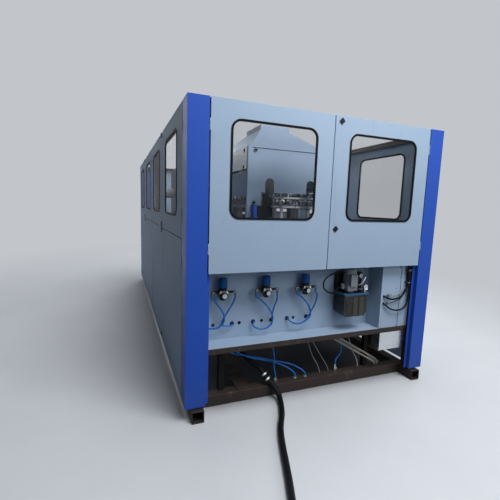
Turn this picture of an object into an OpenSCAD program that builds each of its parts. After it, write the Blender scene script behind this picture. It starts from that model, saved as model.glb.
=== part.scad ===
// Two-stage stretch blow moulding machine for bottles, in a guarded sheet enclosure.
// The origin is on the floor under the middle of the machine. X points to the right as seen
// from the front, Y from the front to the rear and Z up. Sizes are in millimetres.

/* [Enclosure] */
// Overall height of the enclosure
height = 2000; // [1970:10:2100]
// Overall width across the corner columns
width = 1975; // [1900:5:2100]
// Overall length along the corner columns
length = 4360; // [4300:10:4600]
// Front face width of a corner column
col_w = 130; // [126:1:150]
// Side flank depth of a corner column
col_d = 150; // [130:5:180]
// Width of the stop flange beside a corner column's front face
rebate = 24; // [16:1:26]
// Height of the lower edge of the columns and side panels
col_z = 90; // [84:1:110]
// Thickness of the folded guard sheet
sheet = 2; // [1.5:0.5:3]

/* [Doors] */
// Depth of the folded edge of a door
fold = 28; // [22:1:34]
// Width of the return lip behind the folded edge
fold_lip = 16; // [12:1:24]
// Gap between a door and the column that carries its hinges
hinge_gap = 8; // [8:0.5:11]
// Gap where two doors meet
split_gap = 6; // [5:0.5:10]
// Height of the lower edge of the front doors
front_z = 958; // [930:2:980]
// Height of the split between the upper and lower side doors
side_z = 1160; // [1140:2:1180]
// Width of a window, over its rubber profile
win_w = 600; // [520:5:640]
// Height of a window in a front door, over its rubber profile
win_h = 600; // [520:5:620]
// Height of a window in a side door, over its rubber profile
side_win_h = 590; // [500:5:600]
// Height of the lower edge of every window
win_z = 1296; // [1280:2:1320]
// Corner radius of a window
win_r = 67; // [50:1:90]
// Visible width of the rubber window profile
seal_w = 14; // [10:1:18]
// Thickness of the clear window pane
pane_t = 4; // [3:0.5:6]
// Side of the square latch head
latch_head = 29; // [24:1:34]
// Radius of the latch stem
latch_r = 8; // [6:0.5:9]
// Height of the hinge knuckles
knuckle_h = 34; // [24:2:60]

/* [Frame] */
// Side of the square floor tubes
tube = 80; // [76:1:86]
// Wall of the floor tubes
tube_wall = 5; // [3:0.5:8]
// Distance from the enclosure's face to the floor tubes and posts
tube_in = 40; // [36:1:46]
// Length of the floor tubes that stands proud of the front and rear
tube_out = 28; // [0:2:60]
// Distance from the front face to the first cross tube
cross_y = 125; // [115:5:140]
// Side of the guard frame's rails
rail = 40; // [30:1:44]
// Height of the machine bed's top
bed_z = 1180; // [1160:5:1190]

/* [Utility bay] */
// Height of the top of the beam under the bay
bay_z = 443; // [400:1:480]
// Distance from the front face to the beam
bay_in = 60; // [56:1:72]
// Distance from the front face to the bay's back panel
bay_back = 215; // [205:1:240]
// Place of the bay's right-hand wall, from the middle of the machine
bay_right = 564; // [540:2:590]
// Distance between two air regulators
reg_pitch = 320; // [300:5:330]
// Radius of a regulator's knob
knob_r = 30; // [26:0.5:34]
// Outer diameter of the air tubes
air_d = 12; // [10:1:12]
// Width of the lubricator's tank
tank_w = 216; // [190:2:226]

/* [Oven and clamp] */
// Radius of the carrier chain's path round a turn wheel
chain_r = 180; // [170:1:190]
// Distance between two preform carriers, before it is fitted to the chain
carrier_pitch = 76.2; // [70:0.1:95]
// Width of the oven
oven_w = 705; // [690:5:740]
// Height of the oven's top
oven_z = 1824; // [1800:2:1850]
// Distance between two bottle cavities
cavity_pitch = 114; // [100:1:120]
// Number of bottle cavities
cavities = 4; // [2:1:4]
// Radius of a bottle cavity
bottle_r = 40; // [30:1:44]
// Travel of each mould half
clamp_stroke = 120; // [80:5:140]

/* [Supply hose] */
// Outer diameter of the supply hose
hose_d = 38; // [30:1:40]

/* [Hidden] */
$fn = 48;

// Colours
blue = [0.16, 0.3, 0.68];
grey = [0.72, 0.77, 0.8];
dark = [0.2, 0.17, 0.16];
black = [0.05, 0.05, 0.05];
steel = [0.6, 0.62, 0.64];
zinc = [0.75, 0.76, 0.78];
alloy = [0.8, 0.81, 0.83];
clear = [0.8, 0.87, 0.9, 0.35];
tube_blue = [0.1, 0.4, 0.75];

// Half sizes and clearances
W2 = width / 2;
L2 = length / 2;
weld = 0.3; // seam left between welded or bolted pieces
run = 0.08; // radial clearance of a hinge pin or shaft
slide = 0.3; // clearance of a sliding or seated piece
over = 1; // overlength of a cutting shape

// Doors
knuckle_r = hinge_gap / 2 - 0.5;
pin_r = knuckle_r / 2;
leaf_t = 2;
leaf_d = fold - 6;
hinge_in = 120;
mull = 6; // width of the strip between the second and third side doors
col_lip = fold + 2 + sheet; // depth of a column's inner lip, with the stop flange behind the door
front_w = (width - 2 * col_w - 2 * hinge_gap - split_gap) / 2;
side_w = (L2 - col_d - mull / 2 - 2 * hinge_gap - split_gap) / 2;
front_hinge_x = W2 - col_w - hinge_gap / 2;
side_hinge_y = [-L2 + col_d + hinge_gap / 2, -(mull + hinge_gap) / 2,
    (mull + hinge_gap) / 2, L2 - col_d - hinge_gap / 2];
// A door that extends towards the rear from its hinges is mirrored
side_turned = [true, false, true, false];
upper_z = [side_z + split_gap / 2, height];
lower_z = [col_z, side_z - split_gap / 2];
seal_grip = 6; // overlap of the rubber profile on the sheet
seal_out = 3; // height of the rubber profile over the pane
latch_in = 48; // distance of a latch from the free edge of its door
latch_zs = [height - 35, 1242];
latch_side_zs = [[height - 21, side_z + 32], [side_z - 24, col_z + 60]];
cam_t = 3;
cam_l = 68;
latch_bore = latch_r + run;

// Frame
post_w = col_w - tube_in - sheet - weld; // width of a corner post, up to the column's lip
post_d = 68;
post_in = col_lip - 6; // distance of a post behind the column's front face
rail_top = height - 10; // top of the upper rails
post_y = post_in + post_d;
bed_x = 460; // inner face of the bed's side rails
bed_rail = 80;
bed_y = [-1880, 1880];
bed_t = 20;
cross_ys = [-1060, 0, 1060];

// Utility bay
bay_left = -W2 + col_w + 4;
bay_top = front_z + 5 + rail;
hole_z = 550;
hole_r = 12;
bay_mid = bay_left + 853.5; // keeps its distance from the left-hand column
reg_x = [for (i = [0:2]) bay_mid - 707 + i * reg_pitch];
tube_holes = [reg_x[0] - 108, reg_x[0] + 88, reg_x[1] - 71, reg_x[1] + 75, reg_x[2] - 116,
    reg_x[2] + 49];
free_holes = [reg_x[0] - 50, reg_x[0] + 13, reg_x[0] + 143, reg_x[1] - 3, reg_x[2] - 61];
reg_z = 796; // height of the regulators' ports
reg_y = -L2 + 160;
body_s = 58; // width of a regulator's body
port_dx = [74, 90]; // distance of the left and the right outlet from a regulator's middle
knob_z = 824;
knob_h = 68;

// Lubricator
tank_x = 324; // middle of the tank
tank_z = [565, 748];
tank_d = 134;
tank_gap = 20; // from the tank to the back panel
tank_y = -L2 + bay_back - tank_d / 2 - tank_gap;
drive_x = 304;
drive_r = 50;

// Oven and carrier chain
chain_x = -90; // middle of the chain's loop
wheel_y = [-1800, -420];
chain_z = 1392; // underside of the chain
link_t = 5;
run_l = wheel_y[1] - wheel_y[0];
loop_l = 2 * run_l + 2 * PI * chain_r;
links = 2 * floor(loop_l / carrier_pitch / 2);
oven_x = [-460, -460 + oven_w];
oven_y = [-1740, -480];
oven_post = 30;
oven_low = 1454; // lower edge of the oven's side walls
arch_r = 37;
lamp_pitch = (oven_y[1] - oven_y[0] - 90) / 3;
holder_t = 14;
lamp_l = lamp_pitch - holder_t - 2 * weld;
lamp_x = chain_r + 92; // from the middle of the chain's loop
collar_z = oven_z + 161; // top of the hood's collar
wheel_r = chain_r - 22;
shaft_r = 17.5;

// Clamp unit
clamp_y = 700;
neck_z = 1440; // height at which a preform's neck is held
plate_t = 60;
plate_x = 620;
clamp_half = 330;
mould_t = 100;
mould_l = cavity_pitch * (cavities - 1) + 138;
mould_h = 300;
platen_t = 50;
platen_z = [1230, 1810];
bar_r = 25;
bar_y = 280;
bar_z = [1270, 1770];
rod_r = 30;
barrel_r = 65;
piston_r = 50;
barrel_l = 260;
cav_ys = [for (i = [0:cavities - 1]) (i - (cavities - 1) / 2) * cavity_pitch];
plug_r = bottle_r - 5;
plug_drop = 45; // travel of the base plugs
stretch = 260; // travel of the stretch rods
cross_z = 1090; // rest height of the stretch rods' crosshead
arm_x = -95;
arm_t = 30;
grip_rest = 40;
grip_z = neck_z - 13;

// Supply hose: hand-chosen points from the inlet to the coil on the floor, with Y from the front face
hose_r = hose_d / 2;
hose_pts = [[-520, 330, 290], [-490, 285, 262], [-450, 240, 228], [-402, 195, 196],
    [-376, 160, 156], [-357, 140, 128], [-333, 115, 102], [-313, 85, 68], [-301, 50, 37],
    [-319, -15, 22], [-348, -89, 19.4], [-378, -150, 19],
    [-440, -260, 19], [-490, -380, 19], [-535, -510, 19], [-580, -640, 19],
    [-625, -760, 19], [-645, -830, 19], [-652, -905, 19]];
coil_c = [-865, -990];
coil_r = 215; // middle of the coil's turns
coil_turns = 2;

// Basic shapes
module slab(lo, hi) {
    translate(lo) cube(hi - lo);
}

module box_tube(lo, hi, axis, wall) {
    grow = [for (i = [0:2]) i == axis ? -over : wall];
    difference() {
        slab(lo, hi);
        slab(lo + grow, hi - grow);
    }
}

module rounded(w, h, r) {
    square([w - 2 * r, h], center = true);
    square([w, h - 2 * r], center = true);
    for (x = [-1, 1], z = [-1, 1])
        translate([x * (w / 2 - r), z * (h / 2 - r)]) circle(r);
}

// A rounded plate that stands across Y, from y0 to y1, with its middle at x, z
module upright(x, z, y0, y1, w, h, r) {
    translate([x, y1, z]) rotate([90, 0, 0]) linear_extrude(y1 - y0) rounded(w, h, r);
}

module ring_plate(x, z, y0, y1, w, h, r, inner) {
    translate([x, y1, z]) rotate([90, 0, 0]) linear_extrude(y1 - y0) difference() {
        rounded(w, h, r);
        rounded(w - 2 * inner, h - 2 * inner, max(r - inner, 1));
    }
}

module along_x(r, l) {
    rotate([0, 90, 0]) cylinder(r = r, h = l);
}

module along_y(r, l) {
    rotate([-90, 0, 0]) cylinder(r = r, h = l);
}

// A folded tray of sheet: its face is at y = 0 and its folds point to +Y
module tray(x0, x1, z0, z1) {
    difference() {
        slab([x0, 0, z0], [x1, fold, z1]);
        slab([x0 + sheet, sheet, z0 + sheet], [x1 - sheet, fold - sheet, z1 - sheet]);
        slab([x0 + fold_lip, fold - sheet - over, z0 + fold_lip],
            [x1 - fold_lip, fold + over, z1 - fold_lip]);
    }
}

// Points of a smooth curve through the route's points, with n steps for each span
function spline(p, n) = [for (i = [0:len(p) - 2], k = [0:n - 1])
    let (a = p[max(i - 1, 0)], b = p[i], c = p[i + 1], d = p[min(i + 2, len(p) - 1)], t = k / n)
    0.5 * (2 * b + (c - a) * t + (2 * a - 5 * b + 4 * c - d) * t * t
        + (3 * b - a - 3 * c + d) * t * t * t), p[len(p) - 1]];
function unit(v) = v / norm(v);

// A plain round tube swept along points
module sweep(p, d, sides = 8) {
    n = len(p);
    dir = [for (i = [0:n - 1]) unit(p[min(i + 1, n - 1)] - p[max(i - 1, 0)])];
    // Each ring's start is carried on from the ring before it, so the tube doesn't twist
    start = unit(cross(dir[0], abs(dir[0][2]) > 0.9 ? [0, 1, 0] : [0, 0, 1]));
    side = [for (i = 0, v = start; i < n; i = i + 1, v = i < n ? unit(v - (v * dir[i]) * dir[i]) : v) v];
    polyhedron(
        points = [for (i = [0:n - 1], k = [0:sides - 1])
            p[i] + d / 2 * (cos(360 * k / sides) * side[i]
                + sin(360 * k / sides) * cross(dir[i], side[i]))],
        faces = concat([[for (k = [0:sides - 1]) k]],
            [for (i = [0:n - 2], k = [0:sides - 1])
                [i * sides + k, (i + 1) * sides + k, (i + 1) * sides + (k + 1) % sides,
                    i * sides + (k + 1) % sides]],
            [[for (k = [0:sides - 1]) n * sides - 1 - k]]));
}

// Doors, built with their hinge axis at x = 0 and their face at y = 0
function hinge_zs(z) = [z[0] + hinge_in, z[1] - hinge_in - 2 * knuckle_h];

module door_half(z0) {
    translate([0, 0, z0 + knuckle_h + slide]) difference() {
        union() {
            cylinder(r = knuckle_r, h = knuckle_h - slide);
            slab([pin_r + run + 0.1, 0, 0], [hinge_gap / 2, leaf_d, knuckle_h - slide]);
        }
        translate([0, 0, -over]) cylinder(r = pin_r + run, h = knuckle_h + 2 * over);
    }
}

module frame_half(z0) {
    translate([0, 0, z0]) {
        cylinder(r = knuckle_r, h = knuckle_h);
        cylinder(r = pin_r, h = 2 * knuckle_h - 2);
        slab([-hinge_gap / 2, 0, 0], [-hinge_gap / 2 + leaf_t, leaf_d, knuckle_h]);
    }
}

module door(w, z, win, latches) {
    x0 = hinge_gap / 2;
    difference() {
        tray(x0, x0 + w, z[0], z[1]);
        if (win > 0)
            upright(x0 + w / 2, win_z + win / 2, -over, sheet + over,
                win_w - 2 * seal_grip, win - 2 * seal_grip, win_r - seal_grip);
        for (lz = latches)
            translate([x0 + w - latch_in, -over, lz]) along_y(latch_bore, sheet + 2 * over);
    }
    for (z0 = hinge_zs(z))
        door_half(z0);
}

module latch(cam) {
    // The square head is turned a quarter of a right angle, so it looks the same locked or open
    half = latch_head / 2;
    rotate([0, 45, 0]) slab([-half, -8, -half], [half, -slide, half]);
    translate([0, -over, 0]) along_y(latch_r, fold + 8 + over);
    if (cam)
        slab([-10, fold + 3, -12], [10, fold + 3 + cam_t, cam_l]);
}

module pane(w, h, x, z) {
    inset = seal_grip + 3 + slide;
    upright(x, z, -1, -1 + pane_t, w - 2 * inset, h - 2 * inset, win_r - inset);
}

module seal(w, h, x, z) {
    top = -1 - slide;
    low = -1 + pane_t + slide;
    ring_plate(x, z, top - seal_out, top, w, h, win_r, seal_w);
    ring_plate(x, z, top, low, w - 2 * (seal_grip + slide), h - 2 * (seal_grip + slide),
        win_r - seal_grip - slide, 3 - slide);
    ring_plate(x, z, low, low + seal_out, w, h, win_r, seal_w);
}

module front_left() {
    translate([-front_hinge_x, -L2, 0]) children();
}

module front_right() {
    translate([front_hinge_x, -L2, 0]) mirror([1, 0, 0]) children();
}

module left_side(i) {
    translate([-W2, side_hinge_y[i], 0]) rotate([0, 0, -90])
        mirror([side_turned[i] ? 1 : 0, 0, 0]) children();
}

module front_door_left() {
    color(grey) front_left() door(front_w, [front_z, height], win_h, []);
}

module front_door_right() {
    color(grey) front_right() door(front_w, [front_z, height], win_h, latch_zs);
}

win_x = (hinge_gap + front_w) / 2; // middle of a front door, from its hinge axis
side_win_x = (hinge_gap + side_w) / 2;

module front_window_left() {
    color(clear) front_left() pane(win_w, win_h, win_x, win_z + win_h / 2);
}

module front_window_right() {
    color(clear) front_right() pane(win_w, win_h, win_x, win_z + win_h / 2);
}

module front_seal_left() {
    color(black) front_left() seal(win_w, win_h, win_x, win_z + win_h / 2);
}

module front_seal_right() {
    color(black) front_right() seal(win_w, win_h, win_x, win_z + win_h / 2);
}

latch_x = hinge_gap / 2 + front_w - latch_in;

module front_latch_upper() {
    color(black) front_right() translate([latch_x, 0, latch_zs[0]]) mirror([0, 0, 1]) latch(true);
}

module front_latch_lower() {
    color(black) front_right() translate([latch_x, 0, latch_zs[1]]) latch(true);
}

// The active leaf of each pair carries the latches, seated in its sheet
module side_latches(i, zs) {
    if (!side_turned[i])
        for (z = zs)
            translate([hinge_gap / 2 + side_w - latch_in, 0, z]) {
                rotate([0, 45, 0])
                    slab([-latch_head / 2, -8, -latch_head / 2], [latch_head / 2, 0.5, latch_head / 2]);
                along_y(latch_r, fold);
            }
}

module side_door(i) {
    color(grey) left_side(i) {
        door(side_w, upper_z, side_win_h, []);
        side_latches(i, latch_side_zs[0]);
    }
}

module lower_door(i) {
    color(grey) left_side(i) {
        door(side_w, lower_z, 0, []);
        side_latches(i, latch_side_zs[1]);
    }
}

module side_window(i) {
    color(clear) left_side(i) {
        pane(win_w, side_win_h, side_win_x, win_z + side_win_h / 2);
        seal(win_w, side_win_h, side_win_x, win_z + side_win_h / 2);
    }
}

module door_hinges() {
    color(zinc) {
        for (z0 = hinge_zs([front_z, height])) {
            front_left() frame_half(z0);
            front_right() frame_half(z0);
        }
        for (i = [0:3], z0 = concat(hinge_zs(upper_z), hinge_zs(lower_z)))
            left_side(i) frame_half(z0);
    }
}

// Fixed guard on the right-hand side, bolted to the frame
module right_side(i) {
    translate([W2, side_hinge_y[i], 0]) rotate([0, 0, 90])
        mirror([side_turned[i] ? 0 : 1, 0, 0]) children();
}

// Spacers between the folds of a fixed panel and the rails that carry it
module spacers(x0, x1, zs, back) {
    for (x = [x0 + 60, (x0 + x1) / 2, x1 - 100], z = zs)
        slab([x, fold - over, z], [x + 40, back - weld, z + 12]);
}

module right_panels() {
    color(grey) for (i = [0:3]) right_side(i) {
        x0 = hinge_gap / 2;
        spacers(x0, x0 + side_w, [upper_z[0] + 2, rail_top - rail + 14], tube_in);
        spacers(x0, x0 + side_w, [lower_z[1] - 14], tube_in);
        side_latches(i, concat(latch_side_zs[0], latch_side_zs[1]));
        difference() {
            tray(x0, x0 + side_w, upper_z[0], upper_z[1]);
            upright(side_win_x, win_z + side_win_h / 2, -over, sheet + over,
                win_w - 2 * seal_grip, side_win_h - 2 * seal_grip, win_r - seal_grip);
        }
        tray(x0, x0 + side_w, lower_z[0], lower_z[1]);
    }
}

module right_windows() {
    color(clear) for (i = [0:3]) right_side(i) {
        pane(win_w, side_win_h, side_win_x, win_z + side_win_h / 2);
        seal(win_w, side_win_h, side_win_x, win_z + side_win_h / 2);
    }
}

// Folded corner columns
module column() {
    difference() {
        slab([0, 0, col_z], [col_w, col_d, height]);
        slab([sheet, sheet, col_z - over], [col_w - sheet, col_d - sheet, height - sheet]);
        slab([col_w - sheet - over, col_lip, col_z - over], [col_w + over, col_d + over, height + over]);
        slab([tube_in - 6, col_d - sheet - over, col_z - over], [col_w + over, col_d + over, height + over]);
    }
    // Stop flange behind the edge of the door
    slab([col_w + weld, col_lip - sheet, col_z], [col_w + rebate, col_lip, height]);
}

module corner_columns() {
    color(blue) for (x = [0, 1], y = [0, 1])
        mirror([x, 0, 0]) mirror([0, y, 0]) translate([-W2, -L2, 0]) column();
}

module base_frame() {
    color(dark) {
        for (x = [0, 1])
            mirror([x, 0, 0])
                box_tube([-W2 + tube_in, -L2 - tube_out, 0], [-W2 + tube_in + tube, L2 + tube_out, tube],
                    1, tube_wall);
        for (y = concat([-L2 + cross_y, L2 - cross_y - tube], [for (c = cross_ys) c - tube / 2]))
            box_tube([-W2 + tube_in + tube + weld, y, 0],
                [W2 - tube_in - tube - weld, y + tube, tube], 0, tube_wall);
    }
}

// Welded guard frame: corner posts, middle posts with the door stop strips, and rails
module enclosure_frame() {
    color(grey) for (x = [0, 1], y = [0, 1]) mirror([x, 0, 0]) mirror([0, y, 0]) {
        box_tube([-W2 + tube_in, -L2 + post_in, tube + weld],
            [-W2 + tube_in + post_w, -L2 + post_y, rail_top], 2, 3);
        for (z = [side_z - rail / 2, rail_top - rail])
            box_tube([-W2 + tube_in, -L2 + post_y + weld, z],
                [-W2 + tube_in + rail, -rail / 2 - weld, z + rail], 1, 3);
    }
    color(grey) for (x = [0, 1]) mirror([x, 0, 0]) {
        box_tube([-W2 + tube_in, -rail / 2, tube + weld], [-W2 + tube_in + rail, rail / 2, rail_top], 2, 3);
        slab([-W2, -mull / 2, col_z], [-W2 + tube_in - weld, mull / 2, rail_top]);
    }
    color(grey) for (y = [0, 1]) mirror([0, y, 0])
        for (z = [front_z + 5, rail_top - rail])
            box_tube([-W2 + tube_in + post_w + weld, -L2 + post_y - rail, z],
                [W2 - tube_in - post_w - weld, -L2 + post_y, z + rail], 0, 3);
}

// Rear closing panels, the upper one with the bottle outlet
outlet = [130, 1350, 1760];

module rear_cover() {
    x1 = W2 - col_w - hinge_gap / 2;
    color(grey) translate([0, L2, 0]) mirror([0, 1, 0]) {
        difference() {
            tray(-x1, x1, front_z, height);
            slab([-outlet[0], -over, outlet[1]], [outlet[0], fold + over, outlet[2]]);
        }
        tray(-x1, x1, col_z, front_z - split_gap);
        spacers(-x1, x1, [front_z + 8, rail_top - rail + 14], post_y - rail);
        // Pads on the columns' stop flanges
        for (s = [0, 1], z = [300, 800])
            mirror([s, 0, 0]) slab([-x1 + 2, fold - over, z], [-x1 + 20, col_lip - sheet - weld, z + 40]);
    }
}

// Machine bed: legs, side rails and the top plate with the opening for the stretch rods
module machine_bed() {
    plate_z = bed_z - bed_t;
    rail_z = plate_z - bed_rail;
    color(steel) {
        difference() {
            slab([-bed_x - bed_rail - 100, bed_y[0], plate_z], [bed_x + bed_rail + 100, bed_y[1], bed_z]);
            slab([-60, clamp_y - mould_l / 2 + 8, plate_z - over],
                [60, clamp_y + mould_l / 2 - 8, bed_z + over]);
            for (y = wheel_y)
                translate([chain_x, y, plate_z - over]) cylinder(r = shaft_r + run, h = bed_t + 2 * over);
        }
        // Rail and posts of the transfer gripper
        slab([arm_x, -210, 1320], [arm_x + arm_t, 960, 1345]);
        for (y = [-190, 330, 920])
            slab([arm_x, y, bed_z + weld], [arm_x + arm_t, y + 30, 1320 - weld]);
    }
    color(dark) for (x = [0, 1]) mirror([x, 0, 0]) {
        box_tube([bed_x, bed_y[0], rail_z], [bed_x + bed_rail, bed_y[1], plate_z - weld], 1, 6);
        for (y = cross_ys)
            box_tube([bed_x, y - tube / 2, tube + weld],
                [bed_x + bed_rail, y + tube / 2, rail_z - weld], 2, 6);
    }
}

// Utility bay under the front doors
module bay_beam() {
    x1 = W2 - tube_in - post_w - weld;
    color(dark) {
        box_tube([-x1, -L2 + bay_in, bay_z - rail], [x1, -L2 + bay_in + rail, bay_z], 0, 3);
        box_tube([-x1, -L2 + bay_back - rail, bay_z - rail], [x1, -L2 + bay_back, bay_z], 0, 3);
    }
    // Legs of the rear tube, on the first cross tube
    color(dark) for (x = [-700, bay_right - 10])
        box_tube([x - rail / 2, -L2 + bay_back - rail, tube + weld],
            [x + rail / 2, -L2 + bay_back, bay_z - rail - weld], 2, 3);
}

module utility_bay() {
    floor_z = bay_z + weld;
    wall_z = floor_z + sheet + weld;
    back_y = -L2 + bay_back;
    color(grey) {
        slab([bay_left, -L2 + bay_in, floor_z], [bay_right, back_y, floor_z + sheet]);
        difference() {
            slab([bay_left, back_y - sheet, wall_z], [bay_right, back_y, bay_top]);
            for (x = concat(tube_holes, free_holes))
                translate([x, back_y - sheet - over, hole_z]) along_y(hole_r, sheet + 2 * over);
        }
        slab([bay_left, -L2 + post_y + weld, wall_z], [bay_left + sheet, back_y - sheet - weld, bay_top]);
        difference() {
            slab([bay_right - sheet, -L2 + bay_in, wall_z],
                [bay_right + 18, back_y - sheet - weld, bay_top - rail - weld]);
            slab([bay_right, -L2 + bay_in + sheet, wall_z - over],
                [bay_right + 18 + over, back_y + over, bay_top + over]);
        }
        slab([bay_left, -L2 + post_y + weld - rail, bay_top + weld],
            [bay_right, back_y, bay_top + weld + sheet]);
    }
}

// Sheet duct for hoses and cables at the right of the bay, with a box under the beam
duct_x = [bay_right + 18 + weld, W2 - col_w + sheet];
duct_y = -L2 + bay_in + 4;
duct_top = bay_top - rail - weld;

module service_duct() {
    seam = duct_x[0] + 150;
    strip = duct_x[1] - 8; // edge of the right-hand strip, beside the corner post
    box_z = [256, bay_z - rail - weld];
    cut = 50; // cut-off corner of the box
    color(grey) {
        difference() {
            slab([duct_x[0], duct_y, bay_z + weld], [seam, -L2 + bay_back, duct_top]);
            slab([duct_x[0] + sheet, duct_y + sheet, bay_z - over],
                [seam - sheet, -L2 + bay_back - sheet, bay_top]);
        }
        slab([seam + 26, duct_y, bay_z + weld], [strip, duct_y + sheet, duct_top]);
        slab([seam + weld, duct_y + 14, bay_z + weld], [seam + 26, duct_y + 14 + sheet, duct_top]);
        translate([0, duct_y + 166, 0]) rotate([90, 0, 0]) difference() {
            linear_extrude(166) box_shape(duct_x[0] + 4, strip, box_z, cut, 0);
            translate([0, 0, sheet])
                linear_extrude(166 - 2 * sheet) box_shape(duct_x[0] + 4, strip, box_z, cut, sheet);
        }
    }
}

module box_shape(x0, x1, z, cut, t) {
    top = z[1] + (t > 0 ? over : 0);
    polygon([[x0 + t, top], [x0 + t, z[0] + t], [x1 - cut, z[0] + t], [x1 - t, z[0] + cut], [x1 - t, top]]);
}

// One regulator: body with ports, bowl, gauge, bracket and the stem that the knob turns on
module regulator(x) {
    half = body_s / 2;
    translate([x, reg_y, reg_z]) {
        color(zinc) {
            slab([-half, -half, -32], [half, half, 16]);
            translate([0, 0, -54]) cylinder(r = 22, h = 23);
            translate([0, 0, 15]) cylinder(r = 12, h = knob_z - reg_z + 25);
            translate([-half - 10, 0, 0]) along_x(14, body_s + 20);
        }
        color(black) {
            translate([0, 0, 15]) cylinder(r = 28, h = knob_z - reg_z - 15 - slide);
            translate([0, -half - 22, -15]) along_y(20, 14);
            translate([0, -half - 9, -15]) along_y(7, 12);
            slab([-20, half - over, -26], [20, bay_back - 160 - sheet - weld, 12]);
            for (s = [0, 1]) mirror([1 - s, 0, 0]) {
                translate([half + 9, 0, 0]) along_x(11, port_dx[s] - half - 5);
                translate([port_dx[s], 0, -24]) cylinder(r = 9, h = 30);
            }
        }
    }
}

module air_regulators() {
    for (x = reg_x)
        regulator(x);
}

module regulator_knob(i) {
    // The knob is a ribbed cap that is hollow over the stem
    color(blue) translate([reg_x[i], reg_y, knob_z]) difference() {
        union() {
            cylinder(r = knob_r - 2, h = knob_h);
            for (a = [0:20:340])
                rotate([0, 0, a]) translate([knob_r - 3, 0, 4]) cylinder(r = 3, h = knob_h - 12, $fn = 24);
        }
        translate([0, 0, -over]) cylinder(r = 12 + run, h = 50 + over);
    }
}

// Air tubes. The points of their routes have Y from the front face; a tube between a regulator and
// a hole in the back panel has its X from the regulator's middle.
hole_y = bay_back - sheet - 3 - weld;
under_y = bay_back - rail / 2; // tubes and cables come down from the rear tube of the beam
function down(x, y, z, d) = [[x, y, z], [x, y, z - d], [x, y, z - 2 * d]];
function port(s) = down([-1, 1][s] * port_dx[s], 160, reg_z - 24.4, 8);
function under(x) = down(x, under_y, bay_z - rail - 0.4, 10);
function into(x) = [for (y = [-12, -6, 0]) [x, hole_y + y, hole_z]];
hole_routes = [
    [[-57, 155, 738], [-36, 152, 712], [-1, 150, 661], [12, 152, 617], [8, 158, 583], [-21, 164, 551],
        [-49, 168, 543], [-80, 173, 543], [-100, 182, 546]],
    [[82, 165, 727], [61, 172, 683], [36, 176, 642], [16, 178, 607], [5, 180, 580], [11, 180, 558],
        [41, 179, 549], [70, 181, 549], [84, 188, 550]],
    [[-59, 156, 740], [-25, 152, 712], [24, 150, 658], [53, 150, 605], [55, 152, 559], [41, 156, 528],
        [10, 160, 510], [-28, 164, 506], [-65, 171, 518], [-82, 178, 533], [-77, 188, 546]],
    [[94, 168, 715], [79, 174, 668], [67, 178, 614], [66, 180, 581], [70, 184, 562], [74, 190, 552]],
    [[-55, 156, 742], [-13, 152, 707], [32, 150, 651], [48, 150, 603], [48, 152, 569], [13, 156, 538],
        [-20, 160, 521], [-53, 164, 517], [-94, 172, 529], [-112, 183, 543]],
    [[111, 167, 728], [103, 174, 664], [77, 178, 608], [58, 184, 570], [51, 190, 556]]];
// Push-in connectors on the cross tube, with their heights
connectors = [[-24, 170, 12], [-112, 170, 12], [-272, 185, 24], [262, 185, 51]];
under_routes = [
    [[-640, 202, 345], [-560, 225, 304], [-400, 230, 256], [-250, 225, 212], [-130, 210, 176],
        [-56, 186, 138]],
    [[-575, 200, 335], [-470, 210, 276], [-300, 212, 222], [-200, 200, 180], [-136, 182, 140]],
    [[-298, 192, 325], [-286, 188, 262], [-288, 186, 200], [-278, 185, 150]],
    [[288, 205, 325], [332, 220, 262], [338, 222, 205], [282, 200, 168]]];
under_x = [-660, -600, -322, 250];
function onto(c) = [for (z = [16, 8, 0]) [c[0], c[1], tube + c[2] + 2 * weld + z]];

module air_tubes() {
    color(tube_blue) {
        for (i = [0:5])
            translate([reg_x[floor(i / 2)], -L2, 0]) sweep(spline(
                concat(port(i % 2), hole_routes[i], into(tube_holes[i] - reg_x[floor(i / 2)])), 3), air_d);
        for (i = [0:3])
            translate([bay_mid, -L2, 0])
                sweep(spline(concat(under(under_x[i]), under_routes[i], onto(connectors[i])), 3), air_d);
    }
    // Grommets in the back panel's holes, which the tubes end at
    color(black) for (x = tube_holes)
        translate([x, -L2 + bay_back - sheet - 3, hole_z]) {
            along_y(hole_r - weld, sheet + 6);
            along_y(hole_r + 4, 3 - weld);
        }
    color([0.15, 0.5, 0.3]) for (c = connectors)
        translate([bay_mid + c[0], c[1] - L2, tube + weld]) {
            slab([-16, -14, 0], [16, 12, c[2]]);
            translate([0, -17, c[2] / 2]) along_y(5, 10);
        }
}

// Cables: the leads beside the duct, the loop of the lubricator, and leads to the floor tube
conduit_r = 15;
conduit_x = duct_x[1] - 44.5;
conduit_y = bay_in + 4 - 3 - 2 * weld - conduit_r; // from the front face
conduit_z = [775, duct_top - 8];
lead_z = conduit_z[0] - weld;
drive_y = tank_y + L2; // from the front face
lead_in = duct_x[0] + 10; // place of the leads' grommets
plug_x = lead_in + 38;
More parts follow.
